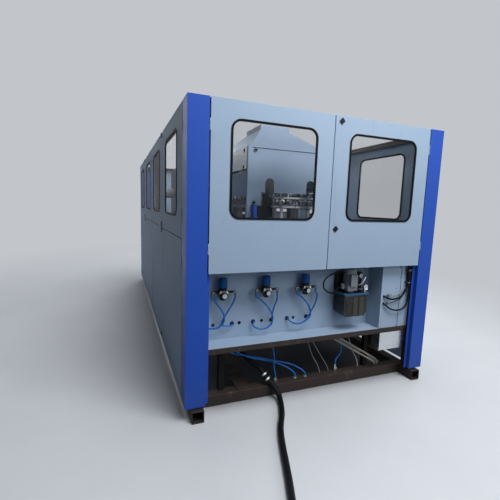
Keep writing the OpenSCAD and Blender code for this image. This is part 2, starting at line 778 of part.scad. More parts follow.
// A point beside the duct: t runs from the grommets to the conduit, d is the distance from the duct
function lead(t, d, z) = [lead_in + t * (conduit_x - lead_in), bay_in + 4 - d, z];
cable_routes = [
    [12, [lead(0.97, 21, lead_z), lead(0.84, 23, 745), lead(0.7, 25, 702), lead(0.4, 27, 685),
        lead(0.18, 26, 689), lead(0.07, 22, 696), lead(0.01, 14, 704), lead(0, 3.6, 706)]],
    [11, [lead(1.03, 21, lead_z), lead(1.05, 22, 740), lead(1.03, 22, 690), lead(0.97, 23, 635),
        lead(0.8, 24, 598), lead(0.52, 25, 590), lead(0.25, 24, 606), lead(0.08, 20, 630),
        lead(0.01, 13, 645), lead(0, 3.6, 648)]],
    [6, [lead(1, 9.5, lead_z), lead(0.96, 10, 745), lead(0.86, 10, 710), lead(0.7, 11, 677),
        lead(0.48, 12, 660), [plug_x + 22.3, bay_in - 10, 653]]],
    [4, [lead(0.955, 9, lead_z), lead(0.92, 7, 762), lead(0.8, 6, 739), lead(0.62, 7, 720),
        lead(0.42, 10, 713), [plug_x + 22.3, bay_in - 10, 717]]],
    [8, [for (d = [0.4, 14, 28]) [drive_x - drive_r - d, drive_y, 900],
        [196, drive_y - 3, 901], [150, drive_y - 8, 896], [90, drive_y - 10, 872], [62, drive_y - 10, 830],
        [72, drive_y - 10, 782], [120, drive_y - 8, 750], [166, drive_y - 6, 748], [192, drive_y - 2, 774],
        for (d = [94.5, 85.5, 76.5]) [drive_x - d, drive_y, 790]]],
    [6, concat(under(0), [[18, 204, 320], [60, 210, 220], [104, 195, 140], [120, 185, tube + 1]])],
    [6, concat(under(30), [[70, 202, 310], [150, 205, 190], [190, 190, 120], [200, 185, tube + 1]])],
    [16, concat(under(330), [[400, 232, 300], [520, 242, 200], [640, 215, 140], [670, 180, tube + 9]])],
    [10, concat(under(380), [[420, 206, 295], [466, 205, 190], [494, 185, tube + 6]])]];

module bay_cables() {
    color(black) translate([0, -L2, 0]) for (r = cable_routes)
        sweep(spline(r[1], 3), r[0]);
    // Conduit with its saddles on the duct's strip, and the plate it ends at
    color(black) translate([conduit_x, -L2 + conduit_y, 0]) {
        translate([0, 0, conduit_z[0]]) cylinder(r = conduit_r - 2, h = conduit_z[1] - conduit_z[0] - weld);
        for (z = [conduit_z[0]:9:conduit_z[1] - 14])
            translate([0, 0, z]) cylinder(r = conduit_r, h = 5);
    }
    color(zinc) {
        for (z = [conduit_z[0] + 30, conduit_z[1] - 50])
            slab([conduit_x - 24, duct_y - 3 - weld, z], [conduit_x + 24, duct_y - weld, z + 14]);
        slab([conduit_x - 24, max(duct_y - 34, -L2 + col_lip + 1), conduit_z[1]],
            [conduit_x + 24, duct_y - weld, conduit_z[1] + 4]);
    }
    // Grommets and angle plugs on the duct
    color(black) for (z = [706, 648])
        translate([lead_in, duct_y - weld, z]) rotate([90, 0, 0]) cylinder(r = 9, h = 3);
    color(black) for (z = [717, 653])
        translate([plug_x, duct_y - weld, z]) rotate([90, 0, 0]) {
            cylinder(r = 10, h = 24);
            translate([0, 0, 4]) cylinder(r = 12, h = 5);
            translate([0, 0, 13.7]) along_x(6, 22);
        }
}

// Central lubricator: ribbed tank on the back panel, and its motor drive with two gauges
module tank_shape(t) {
    cut = [24, 30]; // cut-off lower corners
    w = tank_w / 2 - t;
    z = tank_z + [t, -16 + (t > 0 ? over : 0)];
    polygon([[-w, z[1]], [-w, z[0] + cut[1]], [-w + cut[0], z[0]], [w - cut[0], z[0]], [w, z[0] + cut[1]],
        [w, z[1]]]);
}

module lubricator_tank() {
    color([0.15, 0.2, 0.2]) translate([tank_x, tank_y, 0]) {
        difference() {
            translate([0, tank_d / 2, 0]) rotate([90, 0, 0]) linear_extrude(tank_d) tank_shape(0);
            translate([0, tank_d / 2 - 4, 0]) rotate([90, 0, 0]) linear_extrude(tank_d - 8) tank_shape(4);
        }
        for (x = [-0.315, -0.03, 0.225])
            slab([x * tank_w - 20, -tank_d / 2 - 4, tank_z[0] + 8],
                [x * tank_w + 20, -tank_d / 2 + over, tank_z[1] - 30]);
        slab([-tank_w / 2 + 30, tank_d / 2 - over, tank_z[0] + 20],
            [tank_w / 2 - 30, tank_d / 2 + tank_gap - sheet - weld, tank_z[1] - 30]);
    }
    color([0.1, 0.45, 0.6]) translate([tank_x, tank_y, 0])
        slab([-tank_w / 2 - 3, -tank_d / 2 - 5, tank_z[1] - 16 + weld],
            [tank_w / 2 + 3, tank_d / 2 + 2, tank_z[1]]);
}

module lubricator_drive() {
    top = tank_z[1] + weld;
    color(steel) translate([drive_x, tank_y, top]) {
        cylinder(r = 33, h = 13);
        difference() {
            translate([0, 0, 12]) cylinder(r = drive_r, h = 170);
            for (z = [60:12:140])
                translate([0, 0, z]) difference() {
                    cylinder(r = drive_r + over, h = 5);
                    translate([0, 0, -over]) cylinder(r = drive_r - 4, h = 5 + 2 * over);
                }
        }
        slab([-30, -drive_r - 10, 50], [30, -drive_r + 8, 140]);
        // Cable entry at the side
        translate([-62, 0, 26]) cylinder(r = 14, h = 40);
        slab([-62, -8, 30], [0, 8, 46]);
    }
    // Control housing behind the motor
    color(black) slab([tank_x - 102, tank_y + drive_r + weld, top],
        [tank_x + 140, -L2 + bay_back - sheet - weld, 885]);
    // Gauges: one on the housing, one on the lid
    color(black) translate([tank_x + 81, 0, 868]) {
        translate([0, tank_y - 8, 0]) along_y(22, 22);
        translate([0, tank_y + 13, 0]) along_y(6, drive_r - 13);
    }
    color(black) translate([tank_x + 91, tank_y - 48, 0]) {
        translate([0, -11, 788]) along_y(20, 22);
        translate([0, 0, top]) cylinder(r = 6, h = 788 - top);
    }
}

// Free supply hose with its inlet on the first cross tube and its coupling
module hose_inlet() {
    p = hose_pts[0] - [0, L2, 0];
    dir = unit(hose_pts[1] - hose_pts[0]);
    color(zinc) translate(p) rotate([0, acos(dir[2]), atan2(dir[1], dir[0])]) {
        translate([0, 0, -60]) cylinder(r = hose_r + 5, h = 60 - weld);
        translate([0, 0, -80]) cylinder(r = hose_r + 14, h = 22, $fn = 6);
    }
    color(dark) difference() {
        slab([p[0] - 70, p[1] + 30, tube + weld], [p[0] + 30, p[1] + 38, p[2] + 90]);
        translate([p[0] - 70 - over, p[1] + 30 - over, tube + 30])
            cube([70 + over - hose_r, 8 + 2 * over, 60]);
    }
    color(dark) slab([p[0] - 70, -L2 + cross_y + 10, tube + weld], [p[0] + 30, p[1] + 38, tube + 8]);
}

module supply_hose() {
    color(black) translate([0, -L2, 0]) sweep(spline(hose_pts, 4), hose_d, 10);
}

module supply_hose_coil() {
    color(black) translate([coil_c[0], coil_c[1] - L2, 0]) rotate_extrude($fn = 64)
        translate([coil_r - hose_r, 0]) square([hose_d, coil_turns * hose_d]);
}

module hose_coupling() {
    color(zinc) translate([coil_c[0] - 70, coil_c[1] - L2 - coil_r, coil_turns * hose_d + weld + 30]) {
        along_x(21, 70);
        translate([-12, 0, 0]) along_x(30, 26);
        for (a = [0, 180])
            rotate([a, 0, 0]) translate([-26, 14, -8]) cube([20, 10, 16]);
    }
}

// Oven
module oven_housing() {
    x0 = oven_x[0];
    x1 = oven_x[1];
    color(grey) {
        for (x = [x0, x1 - oven_post], y = [oven_y[0] - oven_post - weld, oven_y[1] + weld])
            slab([x, y, bed_z + weld], [x + oven_post, y + oven_post, oven_z]);
        for (x = [x0 + oven_post - sheet - weld, x1 - oven_post + weld]) {
            slab([x, oven_y[0], 1668], [x + sheet, oven_y[1], oven_z]);
            slab([x, oven_y[0], 1510], [x + sheet, oven_y[1], 1640]);
        }
        for (x = [x0, x1 - oven_post])
            slab([x, oven_y[0], oven_low], [x + oven_post, oven_y[1], 1505]);
        slab([x0 + oven_post, oven_y[1] + 4, 1487], [x1 - oven_post - weld, oven_y[1] + 6, oven_z]);
    }
    // Lamp holders and the reflector between the two chain runs
    color(alloy) {
        slab([chain_x - 4, oven_y[0] + 20, 1450], [chain_x + 4, oven_y[1] - 20, 1800]);
        for (y = [oven_y[0] + 120, (oven_y[0] + oven_y[1]) / 2, oven_y[1] - 140])
            slab([chain_x - 10, y, bed_z + weld], [chain_x + 10, y + 20, 1450 - weld]);
        for (s = [-1, 1], m = [0:3]) {
            mid = chain_x + s * lamp_x;
            y0 = oven_y[0] + 30 + m * lamp_pitch;
            edge = s < 0 ? x0 + oven_post + weld : x1 - oven_post - weld;
            slab([mid - 6, y0, 1440], [mid + 6, y0 + holder_t, 1780]);
            slab([min(mid, edge), y0, 1460], [max(mid, edge), y0 + holder_t, 1500]);
        }
    }
}

module oven_front_cover() {
    x0 = oven_x[0] + oven_post + weld;
    x1 = oven_x[1] - oven_post - weld;
    y0 = oven_y[0] - 12;
    color(grey) difference() {
        union() {
            slab([x0, y0, 1487], [x1, y0 + sheet, oven_z]);
            slab([x0, y0, 1386 + weld], [x0 + 90, y0 + sheet, 1487 + over]);
        }
        for (s = [-1, 1])
            translate([chain_x + s * chain_r, y0 - over, 0]) {
                translate([0, 0, 1558]) along_y(arch_r, sheet + 2 * over);
                slab([-arch_r, 0, 1480], [arch_r, sheet + 2 * over, 1558]);
            }
    }
    color(black) for (p = [[x0 + 34, oven_z - 26], [x0 + 31, 1408]])
        translate([p[0], y0 - 8, p[1]]) rotate([0, 45, 0]) slab([-12, 0, -12], [12, 8 - weld, 12]);
}

module oven_hood() {
    x0 = oven_x[0] + oven_post;
    x1 = oven_x[1] - oven_post;
    collar = [[-360, oven_y[0] - 10, 0], [-121, oven_y[0] + 290, 0]];
    up = 126; // height of the sloping part
    module shell(t) {
        hull() {
            slab([x0 + t, oven_y[0] - 10 + t, oven_z + weld], [x1 - t, oven_y[1] - t, oven_z + 4]);
            slab([collar[0][0] + t, collar[0][1] + t, oven_z + up - over],
                [collar[1][0] - t, collar[1][1] - t, oven_z + up]);
        }
    }
    color(grey) {
        difference() {
            shell(0);
            translate([0, 0, -over]) shell(sheet);
            slab(collar[0] + [sheet, sheet, oven_z + 100], collar[1] + [-sheet, -sheet, oven_z + up + over]);
        }
        difference() {
            slab(collar[0] + [0, 0, oven_z + up + weld], collar[1] + [0, 0, collar_z]);
            slab(collar[0] + [sheet, sheet, oven_z + up - over],
                collar[1] + [-sheet, -sheet, collar_z + over]);
        }
    }
}

module oven_lamps() {
    color([0.95, 0.9, 0.8]) for (s = [-1, 1], m = [0:2], k = [0:5])
        translate([chain_x + s * lamp_x, oven_y[0] + 30 + holder_t + weld + m * lamp_pitch, 1470 + k * 48]) {
            along_y(7, lamp_l);
            for (y = [0, lamp_l - 20])
                translate([0, y, 0]) along_y(10, 20);
        }
}

// Carrier chain: its position at distance s along the loop, as [x, y, heading]
function on_loop(s) =
    s < run_l ? [-chain_r, wheel_y[1] - s, -90]
    : s < run_l + PI * chain_r ? let (a = (s - run_l) / chain_r * 180 / PI)
        [-chain_r * cos(a), wheel_y[0] - chain_r * sin(a), a - 90]
    : s < 2 * run_l + PI * chain_r ? [chain_r, wheel_y[0] + s - run_l - PI * chain_r, 90]
    : let (a = (s - 2 * run_l - PI * chain_r) / chain_r * 180 / PI)
        [chain_r * cos(a), wheel_y[1] + chain_r * sin(a), a + 90];
pins = [for (i = [0:links]) let (p = on_loop((i % links) * loop_l / links)) [p[0], p[1]]];

module carrier_chain() {
    z1 = chain_z + link_t + weld;
    color(steel) translate([chain_x, 0, 0]) for (i = [0:links - 1]) {
        a = pins[i];
        b = pins[i + 1];
        translate([a[0], a[1], i % 2 == 0 ? chain_z : z1]) rotate([0, 0, atan2(b[1] - a[1], b[0] - a[0])])
            difference() {
                union() {
                    cylinder(r = 13, h = link_t);
                    translate([norm(b - a), 0, 0]) cylinder(r = 13, h = link_t);
                    slab([0, -9, 0], [norm(b - a), 9, link_t]);
                }
                for (x = [0, norm(b - a)])
                    translate([x, 0, -over]) cylinder(r = 5 + slide, h = link_t + 2 * over);
            }
        // Pin, carrier base and mandrel, turned in one piece
        translate([a[0], a[1], 0]) rotate_extrude()
            polygon([[0, chain_z], [5, chain_z], [5, z1 + link_t + weld],
                [22, z1 + link_t + weld], [22, 1424], [12, 1430], [12, 1448],
                [9, 1450], [9, 1472], [6, 1476], [0, 1476]]);
    }
}

// A turn wheel with its hub and shaft
module turn_wheel(y) {
    color(alloy) translate([chain_x, y, 0]) difference() {
        union() {
            translate([0, 0, chain_z]) cylinder(r = wheel_r, h = 10, $fn = 96);
            translate([0, 0, chain_z - 10]) cylinder(r = 45, h = 40);
            translate([0, 0, 1100]) cylinder(r = shaft_r, h = chain_z - 1100);
        }
        for (a = [0:60:300])
            rotate([0, 0, a]) translate([100, 0, chain_z - over]) cylinder(r = 30, h = 10 + 2 * over);
    }
}

module turn_wheel_front() {
    turn_wheel(wheel_y[0]);
}

module turn_wheel_rear() {
    turn_wheel(wheel_y[1]);
}

// Chain rails, wheel bearings, guard rings, the oven drive and the outlet belt
module conveyor_track() {
    color(steel) {
        for (s = [-1, 1]) {
            x = chain_x + s * chain_r;
            slab([x - 16, wheel_y[0] + 40, 1366], [x + 16, wheel_y[1] - 40, chain_z - slide]);
            for (y = [wheel_y[0] + 60, (wheel_y[0] + wheel_y[1]) / 2, wheel_y[1] - 80])
                slab([x - 12, y, bed_z + weld], [x + 12, y + 20, 1366 - weld]);
        }
        for (y = wheel_y)
            translate([chain_x, y, bed_z + weld]) difference() {
                union() {
                    cylinder(r = 45, h = chain_z - 10 - slide - bed_z - weld);
                    cylinder(r = 75, h = 16);
                }
                translate([0, 0, -over]) cylinder(r = shaft_r + run, h = chain_z);
            }
    }
    // Guard rings round the front wheel, on four posts
    color(alloy) translate([chain_x, wheel_y[0], 0]) {
        for (z = [1376, 1440])
            translate([0, 0, z]) rotate([0, 0, 180]) rotate_extrude(angle = 180, $fn = 96)
                translate([chain_r + 30, 0]) square([8, 12]);
        for (a = [200, 247, 293, 340])
            rotate([0, 0, a]) translate([chain_r + 34, 0, bed_z + weld]) cylinder(r = 5, h = 1440 - bed_z);
    }
    // Geared motor of the chain, under the oven's front corner
    color(black) translate([-400, oven_y[0] - 62, 0]) {
        slab([0, -40, 1300], [128, 40, 1386]);
        translate([64, 0, bed_z + weld]) cylinder(r = 38, h = 1300 - bed_z);
    }
    color(blue) slab([-430, oven_y[0] - 100, bed_z + weld], [-404, oven_y[0] - 40, 1392]);
    // Outlet belt towards the rear cover
    color([0.25, 0.25, 0.27]) translate([0, 1080, 0]) difference() {
        union() {
            slab([-80, 30, 1360], [80, 1020, 1420]);
            for (y = [30, 1020])
                translate([-80, y, 1390]) along_x(30, 160);
        }
        translate([-80 - over, 60, 1368]) cube([160 + 2 * over, 930, 44]);
    }
    color(steel) for (y = [1180, 1780])
        slab([-60, y, bed_z + weld], [60, y + 40, 1360 - weld]);
}

// Clamp unit: end plates, tie bars, cylinder barrels, and the blow block with its nozzles
module clamp_frame() {
    color([0.55, 0.6, 0.62]) translate([0, clamp_y, 0]) {
        for (s = [0, 1]) mirror([s, 0, 0]) {
            difference() {
                slab([-plate_x, -clamp_half, bed_z + weld], [-plate_x + plate_t, clamp_half, 1830]);
                translate([-plate_x - over, 0, 1520]) along_x(rod_r + run, plate_t + 2 * over);
            }
            difference() {
                translate([-plate_x - barrel_l, 0, 1520]) along_x(barrel_r, barrel_l - weld);
                translate([-plate_x - barrel_l + 12, 0, 1520]) along_x(piston_r + run, barrel_l);
            }
        }
        for (y = [-bar_y, bar_y], z = bar_z)
            translate([-plate_x + plate_t + weld, y, z]) along_x(bar_r, 2 * (plate_x - plate_t - weld));
    }
    color(alloy) translate([0, clamp_y, 0]) {
        half = mould_l / 2 - 6;
        difference() {
            union() {
                slab([-40, -half - 18, neck_z - 56], [40, half + 18, neck_z - 30]);
                for (y = cav_ys)
                    translate([0, y, neck_z - 31]) cylinder(r = 17, h = 15);
            }
            for (y = cav_ys)
                translate([0, y, neck_z - 60]) cylinder(r = 6 + run, h = 60);
        }
        for (s = [-1, 1])
            translate([0, s * (half + 9), 0]) slab([-30, -8, bed_z + weld], [30, 8, neck_z - 56 - weld]);
    }
    // Barrel of the stretch crosshead, hung under the bed
    color(steel) translate([0, clamp_y, 0]) {
        difference() {
            translate([0, 0, cross_z - 350]) cylinder(r = 40, h = 330);
            translate([0, 0, cross_z - 340]) cylinder(r = 32 + run, h = 308);
            translate([0, 0, cross_z - 60]) cylinder(r = 14 + run, h = 60);
        }
        slab([-bed_x - 40, -50, cross_z - 366], [bed_x + 40, 50, cross_z - 350 - weld]);
        for (s = [-1, 1])
            translate([s * (bed_x + 20), 0, 0])
                slab([-10, -50, cross_z - 350], [10, 50, bed_z - bed_t - bed_rail - weld]);
    }
}

platen_x = -mould_t - clamp_stroke - platen_t; // outer face of the open left platen

module platen() {
    mid = 1520;
    color(steel) translate([0, clamp_y, 0]) {
        difference() {
            slab([platen_x, -clamp_half + 20, platen_z[0]],
                [platen_x + platen_t - weld, clamp_half - 20, platen_z[1]]);
            for (y = [-bar_y, bar_y], z = bar_z)
                translate([platen_x - over, y, z]) along_x(bar_r + run, platen_t + 2 * over);
        }
        translate([-plate_x - barrel_l + 40, 0, mid])
            along_x(rod_r, plate_x + barrel_l - 40 + platen_x + over);
        translate([-plate_x - barrel_l + 40, 0, mid]) along_x(piston_r, 30);
    }
}

module platen_left() {
    platen();
}

module platen_right() {
    mirror([1, 0, 0]) platen();
}

// The bottle stands on its neck, and its base is closed by the base plug
module cavity() {
    rotate_extrude() polygon([[0, neck_z - over], [13, neck_z - over], [13, neck_z + 22],
        [bottle_r - 14, neck_z + 52], [bottle_r - 3, neck_z + 72], [bottle_r, neck_z + 92],
        [bottle_r, neck_z + 150], [bottle_r - 3, neck_z + 156], [bottle_r - 3, neck_z + 186],
        [bottle_r, neck_z + 192], [bottle_r, neck_z + 250], [plug_r + slide, neck_z + 262],
        [plug_r + slide, neck_z + mould_h + over], [0, neck_z + mould_h + over]]);
}

module mould() {
    face = -clamp_stroke; // parting face of the open left half
    color(alloy) translate([0, clamp_y, 0]) difference() {
        slab([face - mould_t, -mould_l / 2, neck_z], [face, mould_l / 2, neck_z + mould_h]);
        for (y = cav_ys)
            translate([face, y, 0]) cavity();
        for (z = [60, 240])
            translate([face - mould_t / 2, -mould_l / 2 - over, neck_z + z]) along_y(6, 40);
    }
}

module mould_left() {
    translate([-weld, 0, 0]) mould();
}

module mould_right() {
    mirror([1, 0, 0]) translate([-weld, 0, 0]) mould();
}

// Gantry with two barrels, and the crosshead that carries the base plugs
gantry_z = 1830;
lift_y = 130;

module base_gantry() {
    color([0.55, 0.6, 0.62]) translate([0, clamp_y, 0]) difference() {
        union() {
            slab([-plate_x + 4, -190, gantry_z + weld], [plate_x - 4, 190, gantry_z + 30]);
            for (y = [-lift_y, lift_y])
                translate([0, y, gantry_z + 29]) cylinder(r = 34, h = 121);
        }
        for (y = [-lift_y, lift_y]) {
            translate([0, y, gantry_z - over]) cylinder(r = 10 + run, h = 60);
            translate([0, y, gantry_z + 38]) cylinder(r = 25 + run, h = 104);
        }
    }
}

module base_plugs() {
    color(steel) translate([0, clamp_y, 0]) {
        slab([-50, -mould_l / 2 + 10, 1792], [50, mould_l / 2 - 10, 1812]);
        for (y = cav_ys)
            translate([0, y, neck_z + mould_h + 12]) cylinder(r = plug_r, h = 1793 - neck_z - mould_h - 12);
        for (y = [-lift_y, lift_y]) {
            translate([0, y, 1811]) cylinder(r = 10, h = 150);
            translate([0, y, 1950]) cylinder(r = 25, h = 15);
        }
    }
}

module stretch_unit() {
    color(zinc) translate([0, clamp_y, 0]) {
        slab([-35, -mould_l / 2 + 20, cross_z], [35, mould_l / 2 - 20, cross_z + 20]);
        for (y = cav_ys)
            translate([0, y, cross_z + 19]) cylinder(r = 6, h = neck_z - 17 - cross_z - 19);
        translate([0, 0, cross_z - 330]) cylinder(r = 14, h = 331);
        translate([0, 0, cross_z - 330]) cylinder(r = 32, h = 20);
    }
}

// Transfer gripper: a carriage on its rail, with a fork for each cavity
module transfer_gripper() {
    half = mould_l / 2 - 10;
    color(zinc) translate([0, grip_rest, 0]) {
        slab([arm_x, -half, 1345 + slide], [arm_x + arm_t, half, grip_z + 10]);
        for (y = cav_ys)
            difference() {
                slab([arm_x + arm_t - over, y - 30, grip_z], [26, y + 30, grip_z + 10]);
                translate([0, y, grip_z - over]) cylinder(r = 17 + slide, h = 10 + 2 * over);
                slab([0, y - 17 - slide, grip_z - over], [26 + over, y + 17 + slide, grip_z + 10 + over]);
            }
    }
}

base_frame();
corner_columns();
enclosure_frame();
door_hinges();
machine_bed();
rear_cover();
front_door_left();
front_door_right();
front_window_left();
front_window_right();
front_seal_left();
front_seal_right();
front_latch_upper();
front_latch_lower();
side_door(0);  // side_door_1
side_door(1);  // side_door_2
side_door(2);  // side_door_3
side_door(3);  // side_door_4
side_window(0);  // side_window_1
side_window(1);  // side_window_2
side_window(2);  // side_window_3
side_window(3);  // side_window_4
lower_door(0);  // lower_door_1
lower_door(1);  // lower_door_2
lower_door(2);  // lower_door_3
lower_door(3);  // lower_door_4
right_panels();
right_windows();
bay_beam();
utility_bay();
service_duct();
air_regulators();
regulator_knob(0);  // regulator_knob_1
regulator_knob(1);  // regulator_knob_2
regulator_knob(2);  // regulator_knob_3
air_tubes();
bay_cables();
lubricator_tank();
lubricator_drive();
hose_inlet();
supply_hose();
supply_hose_coil();
hose_coupling();
oven_housing();
oven_front_cover();
oven_hood();
oven_lamps();
conveyor_track();
carrier_chain();
turn_wheel_front();
turn_wheel_rear();
clamp_frame();
platen_left();
platen_right();
mould_left();
mould_right();
base_gantry();
base_plugs();
stretch_unit();
transfer_gripper();
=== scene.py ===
import math
import bpy
import bmesh
from mathutils import Matrix, Vector


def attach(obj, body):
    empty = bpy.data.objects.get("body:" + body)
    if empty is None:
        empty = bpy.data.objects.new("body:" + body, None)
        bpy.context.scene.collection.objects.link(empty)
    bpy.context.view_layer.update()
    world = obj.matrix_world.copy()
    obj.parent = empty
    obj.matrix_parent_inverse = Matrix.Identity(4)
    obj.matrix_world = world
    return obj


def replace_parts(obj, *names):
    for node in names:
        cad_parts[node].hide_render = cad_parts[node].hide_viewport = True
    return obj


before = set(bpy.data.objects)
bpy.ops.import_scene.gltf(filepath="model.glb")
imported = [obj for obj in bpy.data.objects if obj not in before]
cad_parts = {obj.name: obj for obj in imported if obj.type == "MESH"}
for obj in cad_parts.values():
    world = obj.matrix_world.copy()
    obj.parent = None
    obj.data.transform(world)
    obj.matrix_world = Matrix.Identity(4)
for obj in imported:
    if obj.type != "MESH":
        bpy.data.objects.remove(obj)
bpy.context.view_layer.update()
scene = bpy.context.scene
# Half the width and half the length of the enclosure, in metres
W2, L2 = 0.9875, 2.18

# Camera, solved from the photograph: focal length and side of the picture in pixels
F_PX, SIDE_PX, SENSOR_MM = 339.15, 500.0, 36.0
CAMERA_AT = (-1.3578, -4.1706, 1.3818)
YAW, PITCH, ROLL = math.radians(21.292), math.radians(7.404), math.radians(1.862)


def camera():
    """The camera, at the photograph's viewpoint."""
    sy, cyw, sp, cp = math.sin(YAW), math.cos(YAW), math.sin(PITCH), math.cos(PITCH)
    fwd = Vector((sy * cp, cyw * cp, -sp))
    right = Vector((cyw, -sy, 0.0))
    up = right.cross(fwd)
    r = math.cos(ROLL) * right + math.sin(ROLL) * up
    u = -math.sin(ROLL) * right + math.cos(ROLL) * up
    cam = bpy.data.cameras.new("camera")
    cam.sensor_width = SENSOR_MM
    cam.lens = F_PX / SIDE_PX * SENSOR_MM
    cam.clip_end = 60.0
    obj = bpy.data.objects.new("camera", cam)
    m = Matrix((r, u, -fwd)).transposed().to_4x4()
    m.translation = Vector(CAMERA_AT)
    obj.matrix_world = m
    scene.collection.objects.link(obj)
    scene.camera = obj


camera()

# Materials


class Mat:
    """A node material built on one Principled shader."""

    def __init__(self, name, color, rough, metal=0.0):
        self.m = bpy.data.materials.new(name)
        self.m.use_nodes = True
        self.t = self.m.node_tree
        self.b = self.t.nodes["Principled BSDF"]
        self.b.inputs["Base Color"].default_value = (*color, 1.0)
        self.b.inputs["Roughness"].default_value = rough
        self.b.inputs["Metallic"].default_value = metal
        self.color = color
        self.co = None

    def node(self, kind, **props):
        n = self.t.nodes.new(kind)
        for key, val in props.items():
            setattr(n, key, val)
        return n

    def link(self, a, b):
        self.t.links.new(a, b)

    def where(self):
        """The object's own coordinates, in metres."""
        if self.co is None:
            self.co = self.node("ShaderNodeTexCoord").outputs["Object"]
        return self.co

    def noise(self, scale, detail=3.0, rough=0.5, stretch=None):
        """Noise with so many cells in a metre; stretch scales the axes."""
        src = self.where()
        if stretch:
            mp = self.node("ShaderNodeMapping")
            mp.inputs["Scale"].default_value = stretch
            self.link(src, mp.inputs["Vector"])
            src = mp.outputs["Vector"]
        n = self.node("ShaderNodeTexNoise")
        n.inputs["Scale"].default_value = scale
        n.inputs["Detail"].default_value = detail
        n.inputs["Roughness"].default_value = rough
        self.link(src, n.inputs["Vector"])
        return n.outputs["Fac"]

    def ramp(self, src, stops):
        """A colour ramp through stops of (position, grey value or colour)."""
        r = self.node("ShaderNodeValToRGB")
        el = r.color_ramp.elements
        while len(el) < len(stops):
            el.new(0.5)
        for e, (pos, val) in zip(el, stops):
            e.position = pos
            e.color = (val, val, val, 1.0) if not isinstance(val, tuple) else (*val, 1.0)
        self.link(src, r.inputs["Fac"])
        return r.outputs["Color"]

    def span(self, src, lo, hi):
        """Spreads a factor from 0 to 1 over another range."""
        n = self.node("ShaderNodeMapRange")
        n.inputs["To Min"].default_value = lo
        n.inputs["To Max"].default_value = hi
        self.link(src, n.inputs["Value"])
        return n.outputs["Result"]

    def between(self, src, zero, one, kind="LINEAR"):
        """A factor that runs from 0 at one value of src to 1 at another."""
        n = self.node("ShaderNodeMapRange", interpolation_type=kind)
        n.inputs["From Min"].default_value = zero
        n.inputs["From Max"].default_value = one
        self.link(src, n.inputs["Value"])
        return n.outputs["Result"]

    def height(self, zero, one):
        z = self.node("ShaderNodeSeparateXYZ")
        self.link(self.where(), z.inputs["Vector"])
        return self.between(z.outputs["Z"], zero, one)

    def times(self, a, b):
        n = self.node("ShaderNodeMath", operation="MULTIPLY")
        self.link(a, n.inputs[0])
        self.link(b, n.inputs[1])
        return n.outputs["Value"]

    def tint(self, fac, other, src=None):
        """Mixes the colour so far with another, by a factor."""
        mix = self.node("ShaderNodeMix", data_type="RGBA")
        self.link(fac, mix.inputs["Factor"])
        if src is None:
            links = self.b.inputs["Base Color"].links
            if links:
                src = links[0].from_socket
        if src is None:
            mix.inputs["A"].default_value = (*self.color, 1.0)
        else:
            self.link(src, mix.inputs["A"])
        mix.inputs["B"].default_value = (*other, 1.0)
        self.link(mix.outputs["Result"], self.b.inputs["Base Color"])

    def vary_rough(self, fac, lo, hi):
        self.link(self.span(fac, lo, hi), self.b.inputs["Roughness"])

    def bump(self, fac, strength, distance):
        n = self.node("ShaderNodeBump")
        n.inputs["Strength"].default_value = strength
        n.inputs["Distance"].default_value = distance
        links = self.b.inputs["Normal"].links
        if links:
            self.link(links[0].from_socket, n.inputs["Normal"])
        self.link(fac, n.inputs["Height"])
        self.link(n.outputs["Normal"], self.b.inputs["Normal"])


def paint(name, color, rough, grime=(0.2, 0.17, 0.14), grain=900.0, wear=0.5, low=0.0, gloss=0.2):
    """Powder coat: fine orange peel, patchy gloss, faint smudges, and scuffs up to the height low."""
    m = Mat(name, color, rough)
    m.b.inputs["Specular IOR Level"].default_value = gloss
    blotch = m.noise(3.1, 4.0, 0.6)
    m.tint(m.ramp(blotch, [(0.45, 0.0), (0.9, 0.35 * wear)]), tuple(c * 0.82 for c in color))
    smudge = m.noise(11.0, 6.0, 0.7, (1.0, 1.0, 0.45))
    m.tint(m.ramp(smudge, [(0.58, 0.0), (0.78, 0.35 * wear)]), grime)
    if low:
        scuff = m.ramp(m.noise(26.0, 6.0, 0.75, (1.0, 1.0, 0.6)), [(0.46, 0.0), (0.62, 1.0)])
        m.tint(m.times(scuff, m.height(low, 0.0)), tuple(0.4 * c + 0.05 for c in color))
    m.vary_rough(m.noise(5.0, 5.0, 0.6), rough - 0.07, rough + 0.12)
    m.bump(m.noise(grain, 2.0, 0.5), 0.12, 0.0004)
    m.bump(m.noise(2.2, 2.0, 0.4), 0.25, 0.0012)
    return m.m


def metal(name, color, rough, stretch=(1.0, 1.0, 1.0), scale=160.0, wear=0.4):
    """Bare metal with a fine grain, drawn out by stretch, and darker stains."""
    m = Mat(name, color, rough, 1.0)
    fine = m.noise(scale, 3.0, 0.6, stretch)
    m.vary_rough(fine, rough - 0.08, rough + 0.14)
    m.bump(fine, 0.12, 0.0003)
    stain = m.noise(9.0, 5.0, 0.65)
    m.tint(m.ramp(stain, [(0.5, 0.0), (0.8, wear)]), tuple(c * 0.5 for c in color))
    return m.m


def plastic(name, color, rough, scale=60.0, gloss=0.5, wear=0.25):
    """Plastic or rubber: fine grain, uneven gloss and a little dust."""
    m = Mat(name, color, rough)
    m.b.inputs["Specular IOR Level"].default_value = gloss
    m.vary_rough(m.noise(scale, 3.0, 0.5), rough - 0.06, rough + 0.1)
    m.tint(m.ramp(m.noise(14.0, 5.0, 0.65), [(0.55, 0.0), (0.85, wear)]), (0.25, 0.23, 0.2))
    m.bump(m.noise(scale * 8, 2.0, 0.5), 0.08, 0.0003)
    return m.m


